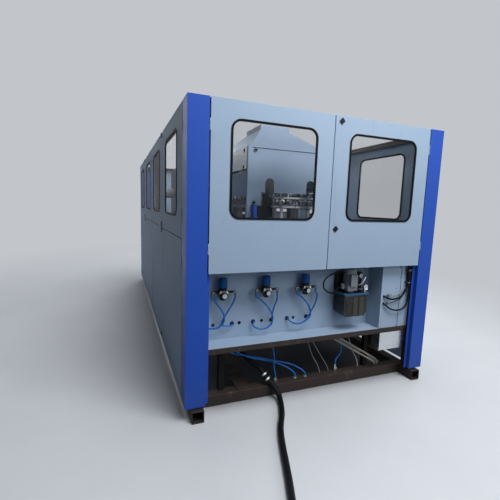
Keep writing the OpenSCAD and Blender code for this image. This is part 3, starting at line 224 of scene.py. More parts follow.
GREY = (0.305, 0.405, 0.535)
blue_paint = paint("blue paint", (0.020, 0.078, 0.42), 0.36, wear=0.4, low=0.30)
grey_paint = paint("grey paint", GREY, 0.36, wear=0.6, low=0.25)
side_paint = paint("side paint", GREY, 0.5, wear=0.6, low=0.25, gloss=0.06)
dark_paint = paint("dark paint", (0.036, 0.027, 0.024), 0.5, (0.16, 0.13, 0.11), wear=1.4)
pale_paint = paint("oven paint", (0.32, 0.42, 0.56), 0.38, wear=0.7)
# Near-black paint for the legs under the bay's beam: painted shade, where the space under the bay is dark
legs_painted_shade = paint("near-black painted shade", (0.012, 0.011, 0.011), 0.6, (0.03, 0.028, 0.026), gloss=0.1)
bed_paint = paint("bed paint", (0.05, 0.06, 0.075), 0.5, wear=1.0)
rubber = plastic("black rubber", (0.005, 0.005, 0.006), 0.55, 80.0, 0.08, 0.05)
black = plastic("black plastic", (0.006, 0.006, 0.007), 0.4, gloss=0.18, wear=0.06)
zinc = metal("zinc", (0.60, 0.61, 0.62), 0.32, scale=90.0)
steel = metal("steel", (0.50, 0.51, 0.53), 0.34, (1.0, 12.0, 1.0), 60.0)
stainless = metal("stainless", (0.62, 0.64, 0.67), 0.24, (1.0, 1.0, 30.0), 40.0, 0.2)
alloy = metal("alloy", (0.72, 0.73, 0.75), 0.28, (14.0, 1.0, 1.0), 60.0)
cast = paint("cast paint", (0.20, 0.225, 0.26), 0.42, wear=1.0)
fitting = metal("dark fitting", (0.16, 0.165, 0.175), 0.4, scale=90.0)
chain_steel = metal("chain steel", (0.22, 0.22, 0.23), 0.38, scale=80.0)
blue_cap = plastic("blue cap", (0.001, 0.075, 0.26), 0.34, gloss=0.2, wear=0.05)
tube_blue = plastic("blue tube", (0.001, 0.13, 0.46), 0.2, 40.0, 0.3, 0.03)
hose_black = plastic("hose black", (0.005, 0.0055, 0.0065), 0.46, 70.0, 0.12, 0.05)
green = plastic("green fitting", (0.01, 0.16, 0.08), 0.4)
smoked = plastic("smoked tank", (0.008, 0.009, 0.009), 0.18, 50.0, 0.4, 0.15)
pillar = plastic("oil in tank", (0.036, 0.038, 0.031), 0.22, 30.0, 0.3)
lid_teal = plastic("teal lid", (0.005, 0.07, 0.17), 0.35)
ceramic = plastic("ceramic", (0.72, 0.68, 0.60), 0.5)
white = plastic("white face", (0.50, 0.56, 0.62), 0.4)
red = plastic("red needle", (0.6, 0.03, 0.02), 0.4)
grey_lead = plastic("grey lead", (0.25, 0.235, 0.20), 0.5)
white_lead = plastic("white lead", (0.45, 0.47, 0.50), 0.45)


def clear(name, tint, alpha):
    """A thin clear pane, faintly smeared."""
    m = Mat(name, tint, 0.03)
    m.b.inputs["Alpha"].default_value = alpha
    m.b.inputs["IOR"].default_value = 1.5
    m.b.inputs["Specular IOR Level"].default_value = 0.25
    smear = m.noise(4.0, 5.0, 0.6)
    m.vary_rough(smear, 0.02, 0.10)
    return m.m


pane_mat = clear("clear pane", (0.02, 0.03, 0.035), 0.10)

# Builders


def catmull(pts, n):
    """A smooth curve through the points, with n steps for each span."""
    pts = [Vector(p) for p in pts]
    out = []
    for i in range(len(pts) - 1):
        a, b = pts[max(i - 1, 0)], pts[i]
        c, d = pts[i + 1], pts[min(i + 2, len(pts) - 1)]
        for k in range(n):
            t = k / n
            out.append(0.5 * (2 * b + (c - a) * t + (2 * a - 5 * b + 4 * c - d) * t * t
                              + (3 * b - a - 3 * c + d) * t ** 3))
    out.append(pts[-1])
    return out


def tube(name, pts, r, mat, body, n=6, sides=3):
    """A round line through points in metres, in n smooth steps; returns the object and the line."""
    cu = bpy.data.curves.new(name, "CURVE")
    cu.dimensions = "3D"
    cu.bevel_depth = r
    cu.bevel_resolution = sides
    cu.use_fill_caps = True
    line = catmull(pts, n) if n else [Vector(p) for p in pts]
    sp = cu.splines.new("POLY")
    sp.points.add(len(line) - 1)
    for p, v in zip(sp.points, line):
        p.co = (*v, 1.0)
    sp.use_smooth = True
    o = bpy.data.objects.new(name, cu)
    scene.collection.objects.link(o)
    cu.materials.append(mat)
    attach(o, body)
    return o, line


def mm(*pts):
    """Points given in mm, in metres."""
    return [tuple(c / 1000.0 for c in p) for p in pts]


class Part:
    """One mesh object put together from simple solids."""

    def __init__(self, name, mats, body, slot):
        self.name, self.mats, self.body, self.slot = name, mats, body, slot
        self.bm = bmesh.new()

    def _add(self, verts, matrix, mat, bevel, seg=2):
        """Places new corners, and gives their faces a material and their sharp edges a bevel."""
        bm = self.bm
        bmesh.ops.transform(bm, matrix=matrix, verts=verts)
        faces = {f for v in verts for f in v.link_faces}
        for f in faces:
            f.material_index = mat
        if bevel:
            edges = [e for e in {e for v in verts for e in v.link_edges}
                     if len(e.link_faces) == 2 and e.calc_face_angle(0.0) > 0.7]
            bmesh.ops.bevel(bm, geom=edges, offset=bevel, segments=seg, profile=0.6,
                            affect="EDGES", clamp_overlap=True, material=-1)

    def box(self, lo, hi, mat=0, bevel=0.0, turn=None, seg=2):
        """A box between two corners in mm; turn is a matrix about its middle."""
        lo, hi = Vector(lo) / 1000.0, Vector(hi) / 1000.0
        mid = (lo + hi) / 2
        m = Matrix.Translation(mid)
        if turn:
            m = m @ turn
        size = hi - lo
        m = m @ Matrix.Diagonal((*size, 1.0))
        verts = bmesh.ops.create_cube(self.bm, size=1.0)["verts"]
        self._add(verts, m, mat, bevel / 1000.0, seg)
        return self

    def cyl(self, at, axis, r, h, mat=0, bevel=0.0, seg=32, r2=None):
        """A cylinder or cone in mm that starts at a point and runs along an axis."""
        axis = Vector(axis).normalized()
        m = Matrix.Translation((Vector(at) + axis * h / 2) / 1000.0)
        m = m @ axis.to_track_quat("Z", "Y").to_matrix().to_4x4()
        verts = bmesh.ops.create_cone(self.bm, cap_ends=True, segments=seg, radius1=r / 1000.0,
                                      radius2=(r if r2 is None else r2) / 1000.0,
                                      depth=h / 1000.0)["verts"]
        self._add(verts, m, mat, bevel / 1000.0)
        return self

    def lathe(self, at, axis, profile, mat=0, seg=40):
        """A turned solid: profile is a list of (radius, distance along the axis) in mm."""
        axis = Vector(axis).normalized()
        m = Matrix.Translation(Vector(at) / 1000.0) @ axis.to_track_quat("Z", "Y").to_matrix().to_4x4()
        bm = self.bm
        rings = []
        for r, z in profile:
            if r < 1e-6:
                rings.append([bm.verts.new(m @ Vector((0, 0, z / 1000.0)))])
            else:
                rings.append([bm.verts.new(m @ Vector((r / 1000.0 * math.cos(2 * math.pi * k / seg),
                                                       r / 1000.0 * math.sin(2 * math.pi * k / seg),
                                                       z / 1000.0))) for k in range(seg)])
        for a, b in zip(rings, rings[1:]):
            for k in range(seg):
                j = (k + 1) % seg
                if len(a) == 1:
                    f = bm.faces.new((a[0], b[j], b[k])) if len(b) > 1 else None
                elif len(b) == 1:
                    f = bm.faces.new((a[k], a[j], b[0]))
                else:
                    f = bm.faces.new((a[k], a[j], b[j], b[k]))
                if f:
                    f.material_index = mat
        return self

    def done(self, smooth=35):
        """Makes the object; edges sharper than smooth, in degrees, stay sharp."""
        bmesh.ops.recalc_face_normals(self.bm, faces=self.bm.faces)
        mesh = bpy.data.meshes.new(self.name)
        self.bm.to_mesh(mesh)
        self.bm.free()
        for m in self.mats:
            mesh.materials.append(m)
        for p in mesh.polygons:
            p.use_smooth = True
        mesh.set_sharp_from_angle(angle=math.radians(smooth))
        o = bpy.data.objects.new(self.name, mesh)
        scene.collection.objects.link(o)
        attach(o, self.body)
        return o


# Helpers


def give(node, mat):
    """Puts one material on a CAD node."""
    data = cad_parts[node].data
    data.materials.clear()
    data.materials.append(mat)


def obj_from(bm, name, mat, body, smooth):
    """An object of one material from a bmesh, smooth up to an angle in degrees."""
    mesh = bpy.data.meshes.new(name)
    bm.to_mesh(mesh)
    bm.free()
    o = bpy.data.objects.new(name, mesh)
    scene.collection.objects.link(o)
    mesh.materials.append(mat)
    for p in mesh.polygons:
        p.use_smooth = True
    mesh.set_sharp_from_angle(angle=math.radians(smooth))
    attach(o, body)
    return o


nodes_mats = {
    dark_paint: ["base_frame", "bay_beam", "hose_inlet"],
    blue_paint: ["corner_columns"],
    grey_paint: ["enclosure_frame", "rear_cover", "door_hinges", "front_door_left", "front_door_right",
                 "right_panels", "utility_bay", "service_duct"],
    side_paint: [f"{kind}_door_{i}" for kind in ("side", "lower") for i in (1, 2, 3, 4)],
    pale_paint: ["oven_housing", "oven_front_cover", "oven_hood"],
    chain_steel: ["carrier_chain", "machine_bed", "base_plugs"],
    steel: ["conveyor_track", "platen_left", "platen_right"],
    alloy: ["turn_wheel_front", "turn_wheel_rear", "mould_left", "mould_right"],
    zinc: ["air_regulators", "hose_coupling", "stretch_unit", "transfer_gripper"],
    cast: ["clamp_frame", "base_gantry", "lubricator_drive"],
    rubber: ["front_seal_left", "front_seal_right", "bay_cables"],
    black: ["front_latch_upper", "front_latch_lower"],
    pane_mat: ["front_window_left", "front_window_right"] + [f"side_window_{i}" for i in (1, 2, 3, 4)]
    + ["right_windows"],
    blue_cap: [f"regulator_knob_{i}" for i in (1, 2, 3)],
    tube_blue: ["air_tubes"],
    hose_black: ["supply_hose", "supply_hose_coil"],
    smoked: ["lubricator_tank"],
    ceramic: ["oven_lamps"],
}
for mat, names in nodes_mats.items():
    for n in names:
        give(n, mat)

# Supply hose, in metres: its diameter, its route from the inlet, and the coil's centre and radius
HOSE_D = 0.038
HOSE_PTS = mm((-520, -1850, 290), (-490, -1895, 262), (-450, -1940, 228), (-402, -1985, 196),
              (-376, -2020, 156), (-357, -2040, 128), (-333, -2065, 102), (-313, -2095, 68),
              (-301, -2130, 37), (-319, -2195, 22), (-348, -2269, 19.4), (-378, -2330, 19),
              (-440, -2440, 19), (-490, -2560, 19), (-535, -2690, 19), (-580, -2820, 19),
              (-625, -2940, 19), (-645, -3010, 19), (-652, -3085, 19))
COIL_C, COIL_R = (-0.865, -3.170), 0.215


def ease(t):
    """Runs smoothly from 0 to 1."""
    t = min(max(t, 0.0), 1.0)
    return t * t * (3 - 2 * t)


def hose_line():
    """The route from the inlet, then round the coil and up to the coupling."""
    line = catmull(HOSE_PTS, 6)
    end = HOSE_PTS[-1]
    dx, dy = end[0] - COIL_C[0], end[1] - COIL_C[1]
    first, r0 = math.degrees(math.atan2(dy, dx)), math.hypot(dx, dy)
    total = first + 90 + 720  # degrees, with two full rounds
    steps = 100
    for k in range(1, steps + 1):
        t = total * k / steps
        a = math.radians(first - t)
        r = COIL_R + (r0 - COIL_R) * max(0.0, 1 - t / 50) ** 2
        turn, part = divmod(t, 360)
        z = HOSE_D * (0.5 + turn + ease((part / 360 - 0.8) / 0.2))
        z += 0.0113 * ease((t - total + 60) / 60)
        line.append(Vector((COIL_C[0] + r * math.cos(a), COIL_C[1] + r * math.sin(a), z)))
    return line


hose, line = tube("supply_hose_line", hose_line(), HOSE_D / 2, hose_black, "machine",
                  n=0, sides=6)
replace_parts(hose, "supply_hose", "supply_hose_coil")


def clamp_band(name, k, width=0.012):
    """A worm-drive band round the hose at a point of its line, with its screw housing."""
    p, d = line[k], (line[k + 1] - line[k - 1]).normalized()
    m = d.to_track_quat("Z", "Y").to_matrix().to_4x4()
    part = Part(name, [zinc], "machine", "zinc")
    part.lathe(p * 1000, d, [(19.2, -width * 500), (20.8, -width * 500), (20.8, width * 500),
                             (19.2, width * 500), (19.2, -width * 500)], 0, 40)
    side = (m @ Vector((0.3, 1, 0))).normalized()
    part.cyl((p + side * 0.023 - m.to_3x3() @ Vector((0.010, 0, 0))) * 1000, m.to_3x3() @ Vector((1, 0, 0)),
             4.5, 20, 0, 0.6, 16)
    return part.done()


bands = [clamp_band("hose_clamp_1", 24), clamp_band("hose_clamp_2", 30)]

# CAD nodes


def shade(node, mats, which):
    """Several materials on a CAD node: which(middle of a face, its normal) says the material's number."""
    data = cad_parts[node].data
    data.materials.clear()
    for m in mats:
        data.materials.append(m)
    for p in data.polygons:
        p.material_index = which(p.center, p.normal)


def split(node, body, groups):
    """Copies of a CAD node's solids as separate pieces: groups is a list of (name, material, slot, test)."""
    src = bmesh.new()
    src.from_mesh(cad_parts[node].data)
    bmesh.ops.remove_doubles(src, verts=src.verts, dist=1e-6)
    src.faces.ensure_lookup_table()
    seen, lots = set(), []
    for f in src.faces:
        if f.index in seen:
            continue
        seen.add(f.index)
        todo, lot = [f], []
        while todo:
            g = todo.pop()
            lot.append(g.index)
            for e in g.edges:
                for h in e.link_faces:
                    if h.index not in seen:
                        seen.add(h.index)
                        todo.append(h)
        co = [v.co for i in lot for v in src.faces[i].verts]
        lo = Vector([min(c[k] for c in co) for k in range(3)])
        hi = Vector([max(c[k] for c in co) for k in range(3)])
        lots.append((lot, lo, hi))
    made = []
    for name, mat, slot, test in groups:
        keep = {i for lot, lo, hi in lots if test(lo, hi) for i in lot}
        bm = src.copy()
        bm.faces.ensure_lookup_table()
        bmesh.ops.delete(bm, geom=[f for f in bm.faces if f.index not in keep], context="FACES")
        made.append(obj_from(bm, name, mat, body, 35))
        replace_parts(made[-1], node)
    src.free()
    return made


def soften(obj, width, angle=40.0, seg=2):
    """Rounds the sharp edges of a piece a little, as a folded sheet or a machined part has them."""
    w = obj.modifiers.new("weld", "WELD")
    w.merge_threshold = 1e-6
    b = obj.modifiers.new("bevel", "BEVEL")
    b.width = width
    b.segments = seg
    b.limit_method = "ANGLE"
    b.angle_limit = math.radians(angle)
    b.harden_normals = True


PANE_T = 0.0045


def thin(lo, hi):
    """Tells a pane from the thicker gasket round it."""
    return hi.x - lo.x < PANE_T


for i in (1, 2, 3, 4):
    split(f"side_window_{i}", f"side_{i}",
          [(f"side_pane_{i}", pane_mat, "clear_pane", thin),
           (f"side_gasket_{i}", rubber, "black_rubber", lambda lo, hi: not thin(lo, hi))])
split("right_windows", "machine",
      [("right_panes", pane_mat, "clear_pane", thin),
       ("right_gaskets", rubber, "black_rubber", lambda lo, hi: not thin(lo, hi))])


# Guard rings round the front wheel, in metres: axis, least radius and heights
WHEEL_X, WHEEL_Y, RING_R, RING_Z = -0.09, -1.8, 0.205, (1.382, 1.446)
# The chain's geared motor, its plate and the outlet belt, by X and Y
MOTOR, MOTOR_PLATE = (-0.405, -0.268, -1.845, -1.757), (-0.432, -0.402, -1.845, -1.775)
BELT_X, BELT_Y, BELT_Z = 0.082, 1.09, 1.3585


def inside(c, box):
    return box[0] < c.x < box[1] and box[2] < c.y < box[3]


def ring_steel(c):
    at_ring = min(abs(c.z - z) for z in RING_Z) < 0.0065
    return at_ring and math.hypot(c.x - WHEEL_X, c.y - WHEEL_Y) > RING_R and c.y < WHEEL_Y + 0.01


def track(c, n):
    """Tells the motor, its plate, the outlet belt and the guard rings from the rails."""
    if inside(c, MOTOR):
        return 1
    if inside(c, MOTOR_PLATE):
        return 2
    if c.y > BELT_Y and abs(c.x) < BELT_X and c.z > BELT_Z:
        return 3
    return 4 if ring_steel(c) else 0


belt = plastic("belt", (0.03, 0.035, 0.04), 0.6)
shade("conveyor_track", [chain_steel, black, blue_paint, belt, alloy], track)
# The height under which the beam's legs get a near-black painted shade, the frame's outer faces and the
# bed's plate, in metres
BEAM_Z, FRAME_X, BED_Z = 0.39, 0.95, 1.1595
# The beam's legs, below BEAM_Z, get the near-black painted shade
shade("bay_beam", [dark_paint, legs_painted_shade], lambda c, n: 1 if c.z < BEAM_Z else 0)
shade("enclosure_frame", [dark_paint, grey_paint], lambda c, n: 1 if abs(c.x) > FRAME_X else 0)
shade("machine_bed", [chain_steel, bed_paint], lambda c, n: 1 if c.z < BED_Z else 0)
# The clamp's middle, the blow block's half width and foot, the tie bars' offset, radius and half length
CLAMP_Y, BLOCK_X, BLOCK_Z = 0.7, 0.041, 1.18
TIE_Y, TIE_R, TIE_X = 0.28, 0.027, 0.5595


def clamp_face(c, n):
    """Tells the blow block and the tie bars from the end plates."""
    if abs(c.x) < BLOCK_X and c.z > BLOCK_Z:
        return 1
    return 2 if abs(abs(c.y - CLAMP_Y) - TIE_Y) < TIE_R and abs(c.x) < TIE_X else 0


shade("clamp_frame", [cast, chain_steel, chain_steel], clamp_face)


# The oven's middle and the inside of its flanks, its flank covers and its rear end, in metres
OVEN_X, INNER_X, LID_Z, REAR_Y = -0.1075, (-0.4255, 0.2105), 1.81, -0.481
COVER_OFF, FLANK_Z, FLANK_Y = 0.32, (1.66, 1.83), (-1.735, -0.485)


def oven_face(c, n):
    """The upper flank covers are stainless; lamp holders and the reflector are bright alloy."""
    flank = abs(c.x - OVEN_X) > COVER_OFF and abs(n.x) > 0.5
    if flank and FLANK_Z[0] < c.z < FLANK_Z[1] and FLANK_Y[0] < c.y < FLANK_Y[1]:
        return 2
    return 1 if INNER_X[0] < c.x < INNER_X[1] and c.z < LID_Z and c.y < REAR_Y else 0


shade("oven_housing", [pale_paint, alloy, stainless], oven_face)
# Top of the duct's bare lower box, and the inlet's axis, radius and front, in metres
DUCT_BOX_Z = 0.41
INLET_X, INLET_Z, INLET_R, INLET_Y = -0.53, 0.30, 0.05, -1.8


def inlet_face(c, n):
    """Tells the turned socket from its plate and bracket."""
    socket = math.hypot(c.x - INLET_X, c.z - INLET_Z) < INLET_R and c.z > 0.2
    return 1 if socket and c.y < INLET_Y and abs(n.y) < 0.99 else 0


shade("service_duct", [grey_paint, stainless], lambda c, n: 1 if c.z < DUCT_BOX_Z else 0)
shade("hose_inlet", [dark_paint, zinc], inlet_face)

# Widths of the rounded edges, in metres
EDGES = {
    0.004: ["base_frame"], 0.003: ["bay_beam"], 0.0018: ["corner_columns"],
    0.0012: ["front_door_left", "front_door_right", "rear_cover", "right_panels", "front_seal_left",
             "front_seal_right", "front_latch_upper", "front_latch_lower"]
    + [f"{kind}_door_{i}" for kind in ("side", "lower") for i in (1, 2, 3, 4)],
    0.001: ["mould_left", "mould_right", "hose_coupling", "hose_inlet"],
    0.0008: ["oven_front_cover", "oven_hood", "service_duct", "utility_bay"],
}
for width, names in EDGES.items():
    for n in names:
        soften(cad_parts[n], width)


LATCH_OUT = 0.0035


def side_latch(c, n):
    """Tells the black latches, which stand out from the enclosure's side, from the door's sheet."""
    return 1 if c.x < -W2 - LATCH_OUT else 0


for i in (2, 4):
    for kind in ("side", "lower"):
        shade(f"{kind}_door_{i}", [side_paint, black], side_latch)

# Regulators, in mm: their axes, middle height and the knobs' foot, and the ports' distances from the axis
REG_X = (-707, -387, -67)
REG_Y, REG_Z, KNOB_Z = -2020, 796, 824
PORT_DX = (-74, 90)


def dial(part, x, y, z, r, white_mat, black_mat, red_mat, turn=-40):
    """A gauge's face that looks towards -Y: white disc, ticks, needle and hub."""
    part.cyl((x, y - 0.6, z), (0, 1, 0), r, 0.6, white_mat, 0, 40)
    for k in range(11):
        a = math.radians(-225 + 27 * k + 180)
        c, s = math.cos(a), math.sin(a)
        q = Matrix.Rotation(-(a + math.pi / 2), 4, "Y")
        mid = Vector((x + c * r * 0.8, y - 0.8, z + s * r * 0.8))
        part.box(mid - Vector((0.35, 0.2, r * 0.09)), mid + Vector((0.35, 0.2, r * 0.09)), black_mat, turn=q)
    a = math.radians(turn)
    mid = Vector((x + math.sin(a) * r * 0.3, y - 1.0, z + math.cos(a) * r * 0.3))
    part.box(mid - Vector((0.5, 0.2, r * 0.42)), mid + Vector((0.5, 0.2, r * 0.42)), red_mat,
             turn=Matrix.Rotation(a, 4, "Y"))
    part.cyl((x, y - 1.6, z), (0, 1, 0), r * 0.1, 1.2, black_mat, 0, 16)


def regulator(i, x):
    p = Part(f"regulator_{i}", [zinc, black, white, red, green, fitting], "machine", "zinc")
    y, z = REG_Y, REG_Z
    p.box((x - 29, y - 29, z - 32), (x + 29, y + 29, z + 16), 5, 5.0, seg=3)
    for s in (-1, 1):
        p.box((x + s * 22 - 7, y - 30.5, z - 30), (x + s * 22 + 7, y - 27, z - 2), 1, 1.5)
    for dx, turn in ((-24, 1), (24, -1)):
        q = Matrix.Rotation(math.radians(24 * turn), 4, "Y")
        p.box((x + dx - 5, y - 30.4, z - 6), (x + dx + 5, y - 27, z + 15), 0, 1.5, turn=q)
    p.cyl((x, y, z + 15), (0, 0, 1), 28, 6, 1, 1.5, 40)
    p.cyl((x, y, z + 20.5), (0, 0, 1), 26, 7, 1, 1.0, 40)
    p.cyl((x, y, z + 20), (0, 0, 1), 12, 52, 0)
    p.lathe((x, y, z - 31), (0, 0, -1),
            [(0, -1), (24, -1), (24, 5), (22, 7), (21.5, 18), (17, 22.5), (7, 23), (0, 23)], 1, 32)
    for s, dx in zip((-1, 1), PORT_DX):
        end = dx - s * 11
        p.cyl((x + s * 28, y, z), (s, 0, 0), 14, 11, 1, 1.0, 6)
        p.cyl((x + s * 38, y, z), (s, 0, 0), 8.5, abs(end) - 38, 1, 1.0, 24)
        p.cyl((x + s * (abs(end) - 6), y, z), (s, 0, 0), 11, 8, 5, 1.0, 6)
        p.cyl((x + end, y, z), (s, 0, 0), 10, 13, 5, 3.0, 24)
        p.cyl((x + dx, y, z + 6), (0, 0, -1), 9, 24, 5, 2.0, 24)
        p.cyl((x + dx, y, z - 17), (0, 0, -1), 9, 6.6, 4, 1.4, 24)
    g = z - 15
    p.cyl((x, y - 51, g), (0, 1, 0), 20, 14, 1, 1.5, 40)
    p.cyl((x, y - 38, g), (0, 1, 0), 7, 12, 0)
    p.lathe((x, y - 51, g), (0, -1, 0), [(16.4, 0), (16.4, 0.8), (17.6, 2.2), (19.4, 1.6), (20, 0)], 1, 40)
    dial(p, x, y - 51.2, g, 16.6, 2, 1, 3, -50 + 35 * i)
    p.box((x - 20, y + 28, z - 26), (x + 20, y + 52.7, z + 12), 1, 1.0)
    for dz in (-20, 6):
        p.cyl((x - 14, y + 29.5, z + dz), (0, -1, 0), 3, 2.5, 0, 0.4, 6)
    return p.done()


regs = [regulator(i + 1, x) for i, x in enumerate(REG_X)]
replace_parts(regs[0], "air_regulators")
for i, x in enumerate(REG_X):
    cap = Part(f"knob_cap_{i + 1}", [black, blue_cap], f"knob_{i + 1}", "black_plastic")
    cap.lathe((x, REG_Y, KNOB_Z), (0, 0, 1), [(29.6, 0.2), (30.6, 1), (30.6, 6), (29.6, 7)], 0, 40)
    cap.lathe((x, REG_Y, KNOB_Z), (0, 0, 1), [(28, 66), (29.2, 66.6), (29.2, 68.6), (27, 69.8), (15, 70),
                                              (14, 68.9), (0, 68.9)], 1, 40)
    cap.done()

# Air tubes, in mm: the panel behind the bay and the holes through it
PANEL_Y = -1967
HOLE_Z, HOLE_Y = 550, PANEL_Y - 3.3


def line_from(x, y, z, d):
    """Three points straight down, as a tube leaves a fitting."""
    return [(x, y, z), (x, y, z - d), (x, y, z - 2 * d)]


def front(x, pts):
    """Points of a route whose Y is measured from the front face and X from x."""
    return [(x + a, b - L2 * 1000, c) for a, b, c in pts]


# Holes' distances from their regulators' axes, and routes from the ports to them
HOLE_DX = (-108, 88, -71, 75, -116, 49)
HOLE_ROUTES = [
    [(-57, 155, 738), (-36, 152, 712), (-1, 150, 661), (12, 152, 617), (8, 158, 583), (-21, 164, 551),
     (-49, 168, 543), (-80, 173, 543), (-100, 182, 546)],
    [(82, 165, 727), (61, 172, 683), (36, 176, 642), (16, 178, 607), (5, 180, 580), (11, 180, 558),
     (41, 179, 549), (70, 181, 549), (84, 188, 550)],
    [(-59, 156, 740), (-25, 152, 712), (24, 150, 658), (53, 150, 605), (55, 152, 559), (41, 156, 528),
     (10, 160, 510), (-28, 164, 506), (-65, 171, 518), (-82, 178, 533), (-77, 188, 546)],
    [(94, 168, 715), (79, 174, 668), (67, 178, 614), (66, 180, 581), (70, 184, 562), (74, 190, 552)],
    [(-55, 156, 742), (-13, 152, 707), (32, 150, 651), (48, 150, 603), (48, 152, 569), (13, 156, 538),
     (-20, 160, 521), (-53, 164, 517), (-94, 172, 529), (-112, 183, 543)],
    [(111, 167, 728), (103, 174, 664), (77, 178, 608), (58, 184, 570), (51, 190, 556)]]
# Routes from the unions under the beam to the push connectors on the base
UNDER_ROUTES = [
    (-660, [(-640, 202, 345), (-560, 225, 304), (-400, 230, 256), (-250, 225, 212), (-130, 210, 176),
            (-56, 186, 138)]),
    (-600, [(-575, 200, 335), (-470, 210, 276), (-300, 212, 222), (-200, 200, 180), (-136, 182, 140)]),
    (-322, [(-298, 192, 325), (-286, 188, 262), (-288, 186, 200), (-278, 185, 150)]),
    (250, [(288, 205, 325), (332, 220, 262), (338, 222, 205), (282, 200, 168)])]
# Push connectors (X, Y and height above their foot) and the lower ends of the beam's unions
CONNECTORS = [(-24, -2010, 12), (-112, -2010, 12), (-272, -1995, 24), (262, -1995, 51)]
FOOT_Z, TUBE_D = 80.3, 12
UNDER_Y, UNDER_Z = -1985, 402.6
TUBES = []
for k, (dx, route) in enumerate(zip(HOLE_DX, HOLE_ROUTES)):
    x = REG_X[k // 2]
    TUBES.append(line_from(x + PORT_DX[k % 2], REG_Y, REG_Z - 24.4, 8) + front(x, route)
                 + [(x + dx, HOLE_Y + d, HOLE_Z) for d in (-12, -6, 0)])
for (x, route), (cx, cy, ch) in zip(UNDER_ROUTES, CONNECTORS):
    TUBES.append(line_from(x, UNDER_Y, UNDER_Z, 10) + front(0, route)
                 + line_from(cx, cy, FOOT_Z + ch + 16.3, 8))
for i, pts in enumerate(TUBES):
    o, _ = tube(f"air_tube_{i + 1}", mm(*pts), TUBE_D / 2000.0, tube_blue, "machine", 6, 3)
    if i == 0:
        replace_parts(o, "air_tubes")
gr = Part("grommets", [black], "machine", "black_rubber")
for k, dx in enumerate(HOLE_DX):
    gr.lathe((REG_X[k // 2] + dx, PANEL_Y - 0.1, HOLE_Z), (0, -1, 0),
             [(6.2, 1.5), (7.5, 4.2), (12, 4.6), (15.6, 3), (16, 0)], 0, 32)
gr.done()
push = Part("push_connectors", [zinc, green], "machine", "zinc")
for x, y, h in CONNECTORS:
    push.box((x - 12, y - 12, FOOT_Z), (x + 12, y + 12, FOOT_Z + h * 0.55), 0, 1.5)
    push.cyl((x, y, FOOT_Z + h * 0.5), (0, 0, 1), 10, h * 0.5 - 1, 0, 0.8, 6)
    push.cyl((x, y, FOOT_Z + h - 2), (0, 0, 1), 9.5, 6, 1, 1.2, 24)
push.done()

# Cables, in mm: the duct's grommets, conduit, angle plugs, front and seam, and the lubricator
LEAD_X, CONDUIT_X, CONDUIT_Y, CONDUIT_Z = 592.3, 815, -2134.6, (775, 954.7)
PLUG_X, DUCT_Y, DUCT_SEAM = 630.3, -2116, 732.3
PLUG_Z, GROMMET_Z, PLUG_TIP = (717, 653), (706, 648), 22.3
DRIVE_X, TANK_X, TANK_Y = 304, 324, -2052


def lead(t, d, z):
    """A point beside the duct: t runs from the grommets to the conduit, d is the distance from the duct."""
    return (LEAD_X + t * (CONDUIT_X - LEAD_X), DUCT_Y - d, z)


def under(x, pts):
    """A route that starts at a union under the beam."""
    return line_from(x, UNDER_Y, UNDER_Z, 10) + front(0, pts)


LEAD_Z = CONDUIT_Z[0] - 0.3
# Each cable: diameter, material and route
CABLES = [
    (15, hose_black, [lead(0.97, 21, LEAD_Z), lead(0.84, 23, 745), lead(0.7, 25, 702), lead(0.4, 27, 685),
                      lead(0.18, 26, 689), lead(0.07, 22, 696), lead(0.01, 14, 704),
                      lead(0, 3.3, GROMMET_Z[0])]),
    (13, hose_black, [lead(1.03, 21, LEAD_Z), lead(1.05, 22, 740), lead(1.03, 22, 690), lead(0.97, 23, 635),
                      lead(0.8, 24, 598), lead(0.52, 25, 590), lead(0.25, 24, 606), lead(0.08, 20, 630),
                      lead(0.01, 13, 645), lead(0, 3.3, GROMMET_Z[1])]),
    (6, hose_black, [lead(1, 9.5, LEAD_Z), lead(0.96, 10, 745), lead(0.86, 10, 710), lead(0.7, 11, 677),
                     lead(0.48, 12, 660), (PLUG_X + PLUG_TIP, DUCT_Y - 14, PLUG_Z[1])]),
    (4, white_lead, [lead(0.955, 9, LEAD_Z), lead(0.92, 7, 762), lead(0.8, 6, 739), lead(0.62, 7, 720),
                     lead(0.42, 10, 713), (PLUG_X + PLUG_TIP, DUCT_Y - 14, PLUG_Z[0])]),
    (11, hose_black, [(DRIVE_X - 50 - d, TANK_Y, 900) for d in (0.4, 14, 28)]
     + [(196, TANK_Y - 3, 901), (150, TANK_Y - 8, 896), (90, TANK_Y - 10, 872), (62, TANK_Y - 10, 830),
        (72, TANK_Y - 10, 782), (120, TANK_Y - 8, 750), (166, TANK_Y - 6, 748), (192, TANK_Y - 2, 774)]
     + [(DRIVE_X - d, TANK_Y, 790) for d in (94.5, 85.5, 76.5)]),
    (6, grey_lead, under(0, [(18, 204, 320), (60, 210, 220), (104, 195, 140), (120, 185, 81)])),
    (6, grey_lead, under(30, [(70, 202, 310), (150, 205, 190), (190, 190, 120), (200, 185, 81)])),
    (15, grey_lead, under(160, [(224, 152, 355), (299, 150, 311), (375, 150, 266), (454, 150, 219),
                                (534, 150, 172), (606, 150, 129), (634, 156, 106), (644, 163, 88)])),
    (15, grey_lead, under(190, [(254, 152, 371), (326, 150, 328), (401, 150, 283), (477, 150, 238),
                                (555, 150, 191), (626, 150, 149), (656, 156, 122), (668, 163, 88)])),
    (6, white_lead, under(370, [(390, 175, 300), (410, 170, 238), (445, 170, 182), (469, 172, 135),
                                (480, 175, 84)]))]
for i, (d, mat, pts) in enumerate(CABLES):
    o, _ = tube(f"cable_{i + 1}", mm(*pts), d / 2000.0, mat, "machine", 8, 3)
    if i == 0:
        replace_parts(o, "bay_cables")
